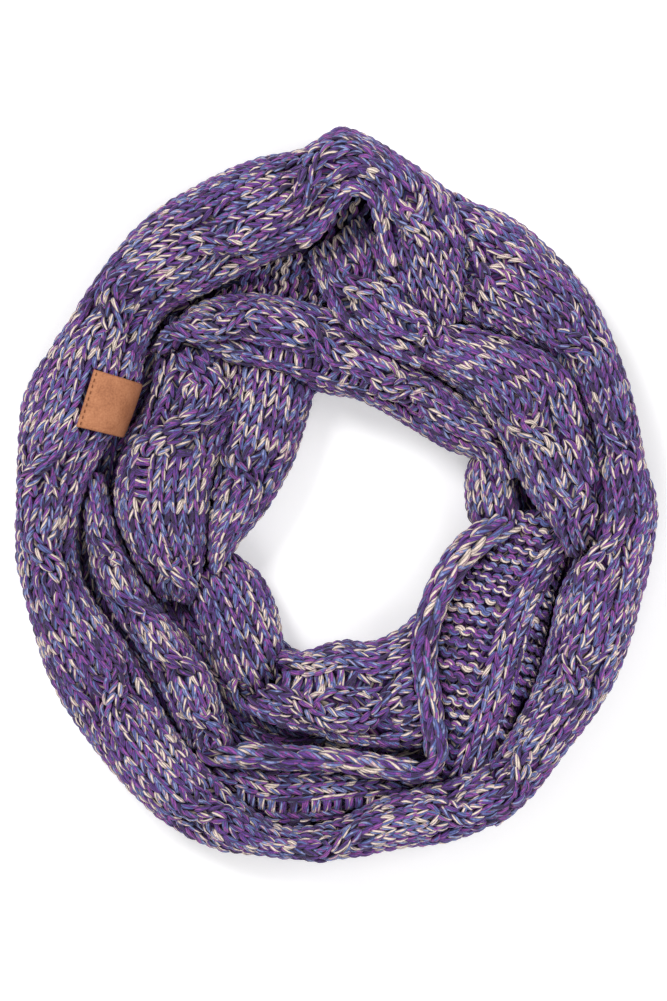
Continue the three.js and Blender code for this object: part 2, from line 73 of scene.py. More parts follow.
# A cable's crossing: half its length as a share of the cable's, how much the strand in front and the one
# behind spread, how deep the one behind sinks, how far the columns beside them are drawn in and over how
# many that fades, and how far in under the strand in front a stitch behind is left out, in columns
CROSSING_SHARE = 0.32
FRONT_SPREAD = 0.42
BACK_SPREAD = 0.95
BACK_SINK = 1.2
DRAWN_IN = 0.6
DRAWN_FADE = 1.5
BACK_HIDDEN = 0.6
WIDE_CABLE = 34  # above this width a strand has three columns, or else two
TILT_STEP = 1.5  # over which a column's lean is measured

# A cable's relief. Its strand in front rises by a share of the cable's lift and fades along it, and the
# hollows beside it have a depth, a reach along in half cables with its power, and a place and a width in
# strands.
STRAND_RISE = 1.3
STRAND_FADE = 1.4
STRAND_HALF = 0.58
CABLE_HOLLOWS = ((2.2, 0.4, 2, 0.95, 0.3), (2.2, 1.2, 4, 1.08, 0.18))
FLANK_RELIEF = 0.35  # share of its height that a cable keeps on the cloth's upright sides

# A knit stitch's leg: its length in rows, where it starts, how far it comes in and how much it bows, in
# columns, and how deep its start and its tip dip
LEG_LENGTH = 1.66
LEG_SIDE = 0.45
LEG_IN = 0.41
LEG_BOW = 0.05
LEG_START_DIP = 2.4
LEG_TIP_DIP = 1.0
LEG_WAVE = (0.14, 0.72)  # where its thickness starts on a half wave, and how much of that it follows
LEG_TAPER = 0.22

# The arcs of a purl stitch and of a ladder's rung: the column's step, the place, the bow and how much
# deeper, and then how far they reach, in columns, and how thick they are
PURL = dict(arcs=((0.0, 0.14, -0.36, 0.0), (0.5, -0.12, 0.36, 0.3)), reach=0.56, gauge=1.08)
LADDER = dict(arcs=((0.0, -0.28, 0.16, 0.3), (0.0, 0.24, -0.14, 0.0)), reach=0.72, gauge=1.0)
ARC_DIP = 1.7
ARC_WAVE = 0.4

# How uneven the stitches are: along, across and in depth, and then as shares of their length and
# thickness
KNIT_JITTER = (0.25, 0.2, 0.18)
PURL_JITTER = (0.25, 0.25, 0.2)
LENGTH_JITTER = 0.06
GAUGE_JITTER = 0.07

# The yarn's colours drift along each row, in runs of this width, at most so many, with ends this uneven
RUN_WIDTH = 46.0
MOST_RUNS = 12
RUN_ENDS = 0.3

# How finely a face is worked out
SAMPLE_ALONG = 1.5
SAMPLE_ACROSS = 1.0
SECTION_POINTS = 81

# A length of yarn as a mesh: its rings and sides, how flat it is and the power that makes it plump
LEG_RINGS = 5
LEG_SIDES = 6
FLATNESS = 0.88
PLUMPNESS = 0.6
MARL_STARTS = 40.0  # how far apart the starts of two lengths may lie in the marl
PIECE_LIMIT = 190_000  # triangles in one piece

# Each stretch, from the top of the heap to the bottom. tuck is how far its cloth turns under at its outer
# and its inner edge, in degrees. rows holds COLUMNS in the order of travel, cables hold row, across,
# width, length, lift and lean, and furrows hold across, width and depth. purl holds the patches of purl
# stitches: the first and last column, counted from the anchor line, and the first and last row. The
# anchor line is the furrow, unless anchor gives its share of the way across. size is how large the
# stitches are, slant how far a course climbs across the columns, and wander how far the columns drift
# along the route.
STRETCHES = {
    "outer_left": dict(
        tuck=(50, 30),
        rows=[
            (71, 97, 53, 87, 50, 38, 36), (78, 127, 35, 115, 58, 42, 40), (73, 152, 25, 137, 64, 34, 42),
            (62, 171, 22, 153, 68, 25, 44), (38, 189, 18, 164, 70, 22, 46), (5, 206, 9, 166, 70, 21, 44),
            (-20, 194, 1, 158, 68, 21, 42), (-47, 188, -14, 140, 64, 22, 38),
            (-76, 175, -45, 126, 58, 22, 32), (-105, 157, -72, 112, 56, 22, 30),
            (-130, 129, -93, 102, 54, 22, 28), (-154, 92, -105, 83, 54, 22, 28),
            (-175, 58, -111, 57, 54, 20, 28), (-179, 25, -128, 27, 54, 20, 26),
            (-180, -6, -141, -2, 52, 20, 26), (-180, -37, -145, -33, 50, 20, 24),
            (-172, -71, -136, -58, 50, 20, 24), (-160, -107, -114, -88, 50, 20, 24),
            (-135, -145, -93, -127, 50, 20, 26), (-105, -178, -73, -152, 50, 20, 26),
            (-73, -198, -52, -172, 48, 20, 26), (-40, -204, -29, -186, 46, 20, 24),
            (-3, -206, 0, -182, 46, 20, 24), (36, -200, 30, -168, 48, 20, 24),
            (67, -195, 60, -161, 48, 20, 24), (101, -181, 84, -152, 48, 20, 26),
        ],
        cables=[
            (2.4, 0.55, 28, 44, 4.5, 1), (6.2, 0.4, 30, 50, 5.5, 1), (8.3, 0.62, 30, 50, 5.5, -1),
            (10.5, 0.36, 30, 50, 5.5, 1), (13.4, 0.26, 28, 46, 4.5, -1), (15, 0.6, 26, 46, 4.5, 1),
            (17.4, 0.62, 26, 46, 5, -1), (19.6, 0.6, 26, 44, 4.5, 1), (22.1, 0.5, 24, 44, 4.5, 1),
            (24, 0.5, 24, 40, 3.5, -1),
        ],
        furrows=[(0.82, 4, 2)],
    ),
    "outer_right": dict(
        tuck=(50, 25),
        rows=[
            (91, -187, 80, -156, 46, 20, 26), (109, -172, 88, -147, 50, 20, 26),
            (130, -145, 100, -129, 52, 20, 26), (152, -115, 111, -107, 53, 20, 26),
            (165, -86, 118, -84, 54, 20, 26), (173, -56, 124, -57, 55, 20, 28),
            (179, -29, 133, -37, 56, 20, 30), (181, -6, 142, -15, 56, 20, 32),
            (174, 20, 144, 14, 56, 20, 34), (168, 51, 138, 44, 56, 20, 34), (158, 82, 129, 65, 57, 20, 34),
            (146, 108, 115, 78, 58, 20, 34), (126, 133, 92, 88, 60, 20, 34), (100, 155, 68, 98, 60, 22, 36),
            (75, 164, 50, 115, 56, 22, 34), (53, 163, 40, 130, 46, 22, 30),
        ],
        cables=[
            (1.2, 0.5, 26, 44, 4, 1), (3.4, 0.62, 32, 46, 5.5, 1), (6.1, 0.75, 26, 44, 4.5, -1),
            (8.4, 0.4, 22, 44, 4, 1), (10.6, 0.55, 30, 46, 5, 1), (13, 0.6, 32, 46, 4.5, -1),
        ],
        furrows=[(0.33, 4, 2.4)],
    ),
    "diagonal": dict(
        tuck=(30, 35),
        rows=[
            (158, -37, 129, -35, 50, 32, 28), (159, -15, 119, -17, 56, 36, 28),
            (152, 16, 106, 1, 59, 40, 28), (144, 46, 92, 27, 61, 42, 28), (133, 72, 79, 47, 62, 42, 30),
            (109, 86, 61, 62, 62, 42, 32), (80, 93, 40, 73, 61, 42, 34), (56, 107, 19, 83, 60, 40, 34),
            (37, 125, 1, 98, 54, 34, 32), (25, 142, -10, 118, 42, 24, 24), (14, 158, -18, 137, 28, 14, 14),
        ],
        cables=[
            (1.4, 0.4, 28, 44, 4, -1), (3.1, 0.68, 32, 48, 5.5, 1), (6.4, 0.36, 30, 46, 5.5, -1),
            (8.3, 0.6, 24, 40, 4, 1),
        ],
        furrows=[(0.5, 4, 1.4)],
    ),
    "inner_top": dict(
        tuck=(20, 40),
        rows=[
            (104, 11, 86, 4, 38, 24, 18), (96, 33, 80, 17, 46, 28, 20), (75, 52, 59, 26, 52, 30, 20),
            (50, 69, 36, 40, 54, 32, 20), (25, 86, 13, 52, 54, 32, 20), (0, 102, -10, 57, 54, 32, 20),
            (-26, 110, -27, 65, 53, 30, 24), (-54, 113, -51, 71, 52, 28, 28),
            (-78, 108, -70, 76, 50, 28, 28), (-94, 94, -82, 80, 44, 24, 24),
            (-104, 81, -91, 73, 34, 20, 20),
        ],
        cables=[
            (3.2, 0.4, 26, 42, 4.5, 1), (5.2, 0.35, 26, 42, 4.5, -1), (7.1, 0.45, 30, 44, 5, 1),
            (8.9, 0.45, 26, 38, 4, -1),
        ],
        furrows=[(0.8, 5, 2.2)],
        purl=[(0, 0, 2.6, 6.6)],
    ),
    "left_roll": dict(
        tuck=(40, 40),
        rows=[
            (-144, 15, -130, 11, 34, 20, 18), (-142, -15, -123, -17, 42, 20, 18),
            (-138, -42, -114, -39, 45, 20, 18), (-128, -64, -98, -63, 45, 20, 17),
            (-112, -87, -83, -82, 44, 20, 16), (-99, -110, -69, -102, 43, 20, 16),
            (-89, -132, -60, -127, 41, 18, 15), (-81, -147, -57, -145, 34, 14, 12),
        ],
        cables=[
            (1.6, 0.5, 20, 36, 3, 1), (3, 0.5, 20, 36, 3, 1), (4.5, 0.5, 20, 36, 3, 1),
            (6, 0.5, 20, 34, 3, 1),
        ],
    ),
    "edge_chain_bottom": dict(
        tuck=(40, 40),
        size=1.8,
        rows=[
            (-86, -145, -82, -135, 30, 18, 18), (-69, -153, -66, -137, 40, 24, 24),
            (-38, -155, -37, -140, 43, 26, 26), (-4, -156, -3, -142, 44, 28, 28),
            (26, -160, 26, -146, 45, 30, 30), (42, -162, 41, -148, 45, 29, 29),
        ],
    ),
    "edge_chain_side": dict(
        tuck=(40, 40),
        size=1.8,
        rows=[
            (38, -163, 38, -149, 43, 28, 28), (52, -161, 46, -148, 46, 30, 30),
            (61, -152, 49, -145, 47, 30, 30), (63, -141, 49, -139, 47, 30, 29),
            (61, -126, 46, -125, 46, 30, 27), (59, -111, 43, -110, 46, 30, 26),
            (57, -88, 40, -87, 46, 30, 24), (62, -65, 47, -61, 46, 30, 22), (72, -46, 56, -40, 46, 28, 22),
            (86, -32, 70, -22, 45, 28, 22), (104, -21, 89, -9, 40, 26, 20),
        ],
    ),
    "inner_left_wide": dict(
        tuck=(35, 25),
        rows=[
            (-96, 100, -56, 94, 34, 18, 24), (-102, 81, -52, 76, 40, 16, 26),
            (-106, 56, -52, 53, 44, 15, 26), (-118, 33, -61, 30, 47, 16, 26),
            (-124, 12, -68, 10, 47, 18, 24), (-125, -11, -71, -15, 46, 20, 22),
            (-116, -35, -73, -36, 43, 18, 20), (-107, -50, -75, -51, 37, 14, 18),
            (-99, -61, -80, -62, 26, 9, 11),
        ],
        cables=[(1.3, 0.55, 36, 42, 5, 1), (2.8, 0.45, 38, 46, 5.5, -1), (6.6, 0.5, 30, 30, 3, 1)],
        furrows=[(0.27, 4, 2.2)],
        purl=[(0, 0, 3.1, 4.7)],
    ),
    "inner_left_side": dict(
        tuck=(20, 40),
        rows=[
            (-56, 89, -10, 82, 34, 22, 16), (-60, 69, -11, 62, 40, 22, 17), (-64, 42, -18, 34, 42, 22, 17),
            (-69, 16, -26, 12, 42, 22, 17), (-72, -8, -39, -10, 41, 20, 16),
            (-73, -28, -55, -30, 38, 18, 15), (-72, -47, -63, -46, 30, 14, 12),
        ],
        cables=[(3.1, 0.4, 28, 38, 4.5, 1)],
    ),
    "inner_corner": dict(
        tuck=(30, 40),
        rows=[
            (-90, -35, -62, -29, 26, 14, 14), (-84, -55, -42, -45, 34, 16, 16),
            (-76, -79, -32, -66, 34, 16, 16), (-64, -102, -29, -83, 30, 14, 14),
            (-51, -123, -25, -98, 20, 11, 11),
        ],
    ),
    "inner_bottom": dict(
        tuck=(20, 40),
        rows=[
            (-62, -110, -57, -89, 24, 12, 12), (-48, -123, -46, -86, 38, 18, 18),
            (-21, -134, -20, -88, 42, 20, 18), (4, -140, 1, -82, 43, 20, 18),
            (24, -143, 21, -82, 43, 20, 18), (42, -144, 38, -73, 41, 19, 17),
            (58, -143, 52, -59, 36, 16, 14),
        ],
        cables=[(2.3, 0.3, 26, 42, 4, -1), (4, 0.35, 32, 46, 5, 1)],
        furrows=[(0.66, 5, 2.2)],
        purl=[(0, 0, 0.4, 3.6)],
    ),
    "inner_right_end": dict(
        tuck=(30, 40),
        rows=[
            (108, -26, 76, -21, 34, 18, 15), (104, -8, 72, -3, 37, 18, 15), (100, 11, 73, 15, 37, 18, 15),
            (97, 30, 80, 33, 32, 16, 13),
        ],
    ),
    "right_inner": dict(
        tuck=(30, 30),
        rows=[
            (96, -156, 58, -159, 30, 16, 20), (105, -128, 56, -137, 33, 16, 20),
            (114, -102, 53, -110, 34, 16, 20), (119, -78, 52, -86, 34, 16, 20),
            (124, -56, 58, -63, 35, 16, 20), (129, -39, 69, -44, 36, 18, 20),
            (136, -24, 82, -27, 36, 18, 20), (141, -8, 96, -8, 34, 18, 18),
        ],
        anchor=0.4,
        slant=0.3,
        wander=-0.18,
        purl=[(-9, -3, 0, 9), (1, 9, 0, 9)],
    ),
    "valley": dict(
        tuck=(20, 20),
        rows=[
            (-82, -160, -76, -148, 24, 13, 13), (-60, -174, -60, -146, 27, 14, 14),
            (-34, -188, -34, -150, 28, 15, 15), (0, -184, 0, -152, 28, 15, 15),
            (34, -175, 34, -156, 27, 15, 15), (64, -170, 62, -158, 24, 14, 14),
        ],
        purl=[(-1, -1, 0.8, 3.6)],
    ),
    "under_top": dict(
        tuck=(20, 20),
        rows=[
            (24, 166, 16, 118, 21, 14, 14), (4, 168, -4, 100, 22, 14, 14), (-20, 152, -26, 98, 24, 14, 14),
            (-46, 134, -50, 102, 24, 14, 14), (-68, 120, -70, 102, 21, 13, 13),
        ],
        purl=[(-9, 9, 0, 4)],
    ),
}

# The ring of hidden layers: radii every 15 degrees from +X, to the outline and to the hole
OUTLINE_RADII = (178, 175, 176, 180, 183, 189, 198, 192, 189, 184, 179, 180,
                 180, 181, 185, 196, 205, 208, 205, 204, 204, 193, 187, 181)
HOLE_RADII = (74, 80, 68, 60, 56, 56, 57, 54, 40, 34, 31, 31, 35, 44, 66, 67, 74, 88, 84, 83, 84, 80, 75, 78)
# The stitches on its upper side stop short of the outline and of the hole by this much
TOP_INSETS = (11, 9)
TOP_EDGE_HEIGHT = 6.0  # of that side, where a look down misses the solid
# Rolled edges that show on its rims. A profile holds how far in from the outline or hole, and how high.
RIM_ROLLS = {
    "rim_lower": dict(
        radii=OUTLINE_RADII, side=-1, wave=-1.3,
        profile=((9, 0.6), (6.4, 1.2), (5, 2.8), (5.6, 4.6), (8, 5.6)),
    ),
    "rim_upper": dict(
        radii=OUTLINE_RADII, side=-1, wave=1.3,
        profile=((7.5, 5.8), (5.2, 6.8), (4.4, 8.8), (6, 10.8), (9.5, 12.4)),
    ),
    "rim_hole": dict(
        radii=HOLE_RADII, side=1, wave=0.0,
        profile=((8.5, 6.2), (5.4, 5.6), (4, 3.4), (4.8, 1.4), (8, 0.6)),
    ),
}
RIM_WAVES = 5
LAID_ON = 2.4  # how far the stitches of the rims and the upper side are raised off their faces

# Cords along the cloth's edges. A line holds rows along the stretch and shares across it.
SELVEDGES = {
    "selvedge_fold": dict(
        edged="outer_left", radius=5.6, size=1.1,
        line=((1.5, 0.96), (3, 0.96), (4, 0.95), (5, 0.94), (6, 0.95), (7.2, 0.97)),
    ),
    "selvedge_diagonal": dict(
        edged="diagonal", radius=4.6, size=0.95,
        line=((5.8, 0.95), (6.6, 0.96), (7.5, 0.96), (8.5, 0.96), (9.8, 0.96)),
    ),
    "selvedge_inner": dict(
        edged="inner_bottom", radius=4.4, size=0.95,
        line=((0.35, 0.75), (0.25, 0.5), (0.35, 0.2), (0.8, 0.07), (2, 0.05), (3.2, 0.05), (4.6, 0.06)),
    ),
}
SELVEDGE_SUNK = 0.35
SELVEDGE_TURN = 125  # degrees to each side that a cord's stitches go round it
CORD_CLEAR = 0.7  # how near its middle, in radii, the cloth's own stitches come

# The label: where it lies on the left band, in rows along and in degrees over the band's back
LABEL_ROW = 11.72
LABEL_LENGTH = 33.0
LABEL_TURN = (98.0, 204.0)
LABEL_STRAIGHT = 0.95
LABEL_FAR_CORNERS = ((0.6, 3.4), (-1.2, -2.8))
LABEL_NEAR_CORNERS = ((3.4, 5.1), (3.9, -1.1))
LABEL_LIFT = 0.4
LABEL_THICKNESS = 1.4
LABEL_EDGE = 0.7  # over which its edge is rounded, down to this share of its thickness
LABEL_EDGE_SHARE = 0.35
LABEL_SEAM = 2.4  # from its far edge to the seam
LABEL_SEAM_WIDTH = 0.45
LABEL_SEAM_DEPTH = 0.55
LABEL_PUFF = 0.25
LABEL_PUFF_FADE = 8
LABEL_POINTS = (41, 61)  # along the band and over it

# The label's thread: its stitches, and where the first and last lie and how far each reaches to both sides,
# as shares of the label's length
THREAD_STITCHES = 9
THREAD_ENDS = (0.07, 0.93)
THREAD_REACH = 0.036
THREAD_RADIUS = 0.34

rng = np.random.default_rng(SEED)


# Tables to surfaces


def between(table, places):
    """Smooth values between the rows of a table, at places counted in rows."""
    last = len(table) - 1
    row = np.clip(np.floor(places).astype(int), 0, last - 1)
    share = (places - row)[:, None]
    padded = np.vstack([2 * table[0] - table[1], table, 2 * table[-1] - table[-2]])
    before, here, there, after = (padded[row + k] for k in range(4))
    bend = 2 * before - 5 * here + 4 * there - after
    twist = -before + 3 * here - 3 * there + after
    return here + share * (there - before + share * (bend + share * twist)) / 2


def unit(vectors):
    return vectors / np.maximum(np.linalg.norm(vectors, axis=-1, keepdims=True), 1e-9)


def smooth_step(share):
    share = np.clip(share, 0, 1)
    return share * share * (3 - 2 * share)


def hump(distance, power=2):
    """A smooth bump that is 1 in its middle and fades over a distance of about 1."""
    return np.exp(-(distance**power))


def run_along(points, axis=0):
    """The length along a line of points from its start, or along each line of a grid of them."""
    steps = np.linalg.norm(np.diff(points, axis=axis), axis=-1)
    start = np.zeros_like(steps.take([0], axis=axis))
    return np.concatenate([start, np.cumsum(steps, axis=axis)], axis=axis)


def spaced(values, run, wanted):
    """The values of a line at the wanted lengths along it."""
    return np.stack([np.interp(wanted, run, values[:, axis]) for axis in range(3)], axis=-1)


def route_places(table):
    """Evenly spaced places along a stretch's middle line: in rows, and as lengths."""
    fine = np.linspace(0, len(table) - 1, 10 * (len(table) - 1) + 1)
    rows = between(table, fine)
    lengths = run_along((rows[:, 0:2] + rows[:, 2:4]) / 2)
    count = max(8, round(lengths[-1] / SAMPLE_ALONG)) + 1
    wanted = np.linspace(0, lengths[-1], count)
    return np.interp(wanted, lengths, fine), wanted


def section_points(sections, degrees, tuck):
    """Points over a band, for every section and every angle over its back."""
    turn = np.radians(degrees)
    at = dict(zip(COLUMNS, sections.T[..., None]))
    half = np.hypot(at["in_x"] - at["out_x"], at["in_y"] - at["out_y"]) / 2
    edge = at["out_z"] + (at["in_z"] - at["out_z"]) * (1 - np.cos(turn)) / 2
    rise = np.sin(turn)
    across = -np.cos(turn) * half
    depth = np.where(degrees < 90, math.sin(math.radians(tuck[0])), math.sin(math.radians(tuck[1])))
    over = edge + (at["crest"] - edge) * np.maximum(rise, 0) ** CREST_SHAPE
    under = edge - EDGE_DROP * np.maximum(-rise, 0) / depth
    height = np.where(rise >= 0, over, under)
    x = (at["out_x"] + at["in_x"]) / 2 + across * (at["in_x"] - at["out_x"]) / (2 * half)
    y = (at["out_y"] + at["in_y"]) / 2 + across * (at["in_y"] - at["out_y"]) / (2 * half)
    return np.stack([x, y, height], axis=-1)


def column_at(tuck, across):
    """The section point, as a fractional number, that lies a share of the way across a band."""
    turn = np.degrees(np.arccos(1 - 2 * np.clip(across, 0, 1)))
    return (turn + tuck[0]) / (180 + tuck[0] + tuck[1]) * (SECTION_POINTS - 1)


class Face:
    """A knitted cloth's face. Places on it are lengths along its route and across from its anchor line."""

    def __init__(self, points, along, anchor, relief=None):
        self.along = along
        arc = run_along(points, axis=1)
        low = int(math.floor(anchor))
        high = min(low + 1, points.shape[1] - 1)
        self.across = arc - (arc[:, low] + (arc[:, high] - arc[:, low]) * (anchor - low))[:, None]
        self.points = points
        if relief is not None:
            facing = self.facing(points)
            share = np.clip(facing[..., 2] + FLANK_RELIEF, 0, 1)
            self.points = points + facing * (relief(self) * share)[..., None]
        self.normals = self.facing(self.points)
        reach = np.abs(self.across).max()
        self.grid = np.arange(-reach, reach + SAMPLE_ACROSS, SAMPLE_ACROSS)
        self.even_points = self.resampled(self.points)
        self.even_normals = unit(self.resampled(self.normals))
        self.low, self.high = self.across[:, 0], self.across[:, -1]
        self.pace = np.linalg.norm(np.gradient(self.even_points, along, axis=0), axis=2)

    @staticmethod
    def facing(points):
        forward = np.gradient(points, axis=0)
        sideways = np.gradient(points, axis=1)
        return unit(np.cross(forward, sideways))

    def resampled(self, values):
        return np.array([spaced(row, across, self.grid) for row, across in zip(values, self.across)])

    def lookup(self, values, along, across):
        """Values of the even grid at places on the face."""
        i = np.clip(along / (self.along[1] - self.along[0]), 0, len(self.along) - 1.001)
        j = np.clip((across - self.grid[0]) / SAMPLE_ACROSS, 0, len(self.grid) - 1.001)
        return on_grid(values, i, j)

    def inside(self, along, across, margin):
        low = np.interp(along, self.along, self.low)
        high = np.interp(along, self.along, self.high)
        return (across > low + margin) & (across < high - margin)


def on_grid(values, row, column):
    """Values between the points of a grid, at places counted in rows and columns."""
    i, j = np.floor(row).astype(int), np.floor(column).astype(int)
    shape = row.shape + (1,) * (values.ndim - 2)
    up, over = (row - i).reshape(shape), (column - j).reshape(shape)
    first = values[i, j] * (1 - over) + values[i, j + 1] * over
    second = values[i + 1, j] * (1 - over) + values[i + 1, j + 1] * over
    return first * (1 - up) + second * up


def stretch_knitting(name):
    """A stretch's face, with its cables and its columns of stitches placed on it."""
    stretch = STRETCHES[name]
    tuck = stretch["tuck"]
    table = np.array(stretch["rows"], float)
    places, along = route_places(table)
    degrees = np.linspace(-tuck[0], 180 + tuck[1], SECTION_POINTS)
    furrows = stretch.get("furrows", [])
    anchor = stretch.get("anchor", furrows[0][0] if furrows else 0.5)
    cables = []

    def relief(face):
        height = np.zeros(face.across.shape)
        for row, across, width, length, lift, lean in stretch.get("cables", []):
            middle = np.interp(row, places, along)
            i = int(np.argmin(abs(along - middle)))
            offset = np.interp(column_at(tuck, across), np.arange(SECTION_POINTS), face.across[i])
            offset = (round(offset / WALE - 0.5) + 0.5) * WALE
            strands = 3 if width > WIDE_CABLE else 2
            cable = dict(middle=middle, offset=offset, strands=strands, length=length, lean=lean)
            cables.append(cable)
            far = (along[:, None] - middle) / (length / 2)
            side = (face.across - offset) / (strands * WALE)
            crossing = smooth_step((far / (2 * CROSSING_SHARE) + 1) / 2) - 0.5
            strand = side - lean * crossing
            height += STRAND_RISE * lift * np.exp(-STRAND_FADE * far**2) * hump(strand / STRAND_HALF, 4)
            height -= sum(
                depth * (hump(far / reach, power) * hump((abs(side) - place) / wide))
                for depth, reach, power, place, wide in CABLE_HOLLOWS
            )
        for _, width, depth in furrows:
            height -= depth * hump(face.across / width)
        return height

    face = Face(section_points(between(table, places), degrees, tuck), along, column_at(tuck, anchor), relief)
    patches = [
        (first * WALE, last * WALE, np.interp(start, places, along), np.interp(end, places, along))
        for first, last, start, end in stretch.get("purl", [])
    ]
    options = {key: stretch[key] for key in ("size", "slant", "wander") if key in stretch}
    return Knitting(face, cables, patches, **options)


def selvedge_face(stretch, face, line, radius):
    """The face of a cord along an edge of a stretch, whose line is given in rows along and shares across."""
    places, _ = route_places(np.array(stretch["rows"], float))
    fine = between(np.array(line, float), np.linspace(0, len(line) - 1, 40 * len(line)))
    row = np.interp(fine[:, 0], places, np.arange(len(places)))
    row = np.clip(row, 0, len(face.points) - 1.001)
    column = np.clip(column_at(stretch["tuck"], fine[:, 1]), 0, SECTION_POINTS - 1.001)
    points, normals = on_grid(face.points, row, column), on_grid(face.normals, row, column)
    run = run_along(points)
    even = np.linspace(0, run[-1], max(8, round(run[-1] / SAMPLE_ALONG)))
    points, normals = spaced(points, run, even), unit(spaced(normals, run, even))
    sideways = unit(np.cross(normals, np.gradient(points, axis=0)))
    turns = np.radians(np.linspace(-SELVEDGE_TURN, SELVEDGE_TURN, 25))[None, :, None]
    rolled = sideways[:, None] * np.sin(turns) * radius
    rolled = rolled + normals[:, None] * (np.cos(turns) - SELVEDGE_SUNK) * radius
    return Face(points[:, None] + rolled, even, (turns.size - 1) / 2)


def ring_radii(radii, turn):
    """Smooth radii at turns round the ring, from a table of evenly spaced ones."""
    table = np.array(radii, float)[:, None]
    joined = np.vstack([table[-2:], table, table[:3]])
    return between(joined, 2 + turn / (2 * np.pi) * len(radii))[:, 0]


def ring_face(reach, turn, height):
    """A face from polar places round the ring, spaced evenly along its middle line."""
    points = np.stack([reach * np.cos(turn)[:, None], reach * np.sin(turn)[:, None], height], axis=-1)
    run = run_along(points[:, points.shape[1] // 2])
    even = np.linspace(0, run[-1], len(turn))
    lines = [spaced(points[:, j], run, even) for j in range(points.shape[1])]
    return Face(np.stack(lines, axis=1), even, (points.shape[1] - 1) / 2)


def rim_face(radii, side, wave, profile):
    """The face of a rolled edge round the ring's rim or hole."""
    turn = np.linspace(0, 2 * np.pi, 720)
    rolled = between(np.array(profile, float), np.linspace(0, len(profile) - 1, 17))
    inward = rolled[None, :, 0] + wave * np.sin(RIM_WAVES * turn)[:, None]
    reach = ring_radii(radii, turn)[:, None] + side * inward
    return ring_face(reach, turn, np.broadcast_to(rolled[None, :, 1], reach.shape))


def hidden_top_face(node):
    """The upper side of the hidden layers, found by looking down on the CAD node."""
    tree = BVHTree.FromObject(node, bpy.context.evaluated_depsgraph_get())
    above, down = 100.0, Vector((0, 0, -1))
    turn = np.linspace(0, 2 * np.pi, 540)
    shares = np.linspace(0, 1, 45)
    outer = ring_radii(OUTLINE_RADII, turn) - TOP_INSETS[0]
    inner = ring_radii(HOLE_RADII, turn) + TOP_INSETS[1]
    reach = outer[:, None] * (1 - shares) + inner[:, None] * shares
    height = np.zeros(reach.shape)
    for i, angle in enumerate(turn):
        for j, radius in enumerate(reach[i]):
            place = np.array([radius * math.cos(angle), radius * math.sin(angle), above]) + SHIFT
            hit = tree.ray_cast(Vector(place * MM), down)[0]
            height[i, j] = hit.z / MM if hit else TOP_EDGE_HEIGHT
    for _ in range(3):
        height[:, 1:-1] = (height[:, :-2] + height[:, 1:-1] + height[:, 2:]) / 3
        height[1:-1] = (height[:-2] + height[1:-1] + height[2:]) / 3
    return ring_face(reach, turn, height)


# What lies under what


def with_neighbours(cells, join):
    """A map of cells, each joined with its four neighbours, which grows or shrinks what it marks."""
    joined = cells.copy()
    for here, there in ((slice(1, None), slice(None, -1)), (slice(None, -1), slice(1, None))):
        joined[here] = join(joined[here], cells[there])
        joined[:, here] = join(joined[:, here], cells[:, there])
    return joined


class Cover:
    """A map of the table that marks what the stretches done so far cover."""

    CELL = 2.0
    REACH = 230.0

    def __init__(self):
        size = int(2 * self.REACH / self.CELL)
        self.marked = np.zeros((size, size), bool)

    def cells(self, points):
        places = ((points[..., :2] + self.REACH) / self.CELL).astype(int)
        return np.clip(places, 0, len(self.marked) - 1)

    def add(self, points):
        cells = self.cells(points).reshape(-1, 2)
        self.marked[cells[:, 0], cells[:, 1]] = True

    def hides(self, points, edge_cells):
        """Whether points lie under what is marked, and not within some cells of its edge."""
        inner = self.marked
        for _ in range(edge_cells):
            inner = with_neighbours(inner, np.logical_and)
        cells = self.cells(points)
        return inner[cells[..., 0], cells[..., 1]]


# Stitches


def uneven(count, spread):
    return rng.normal(0, spread, (count, 1))


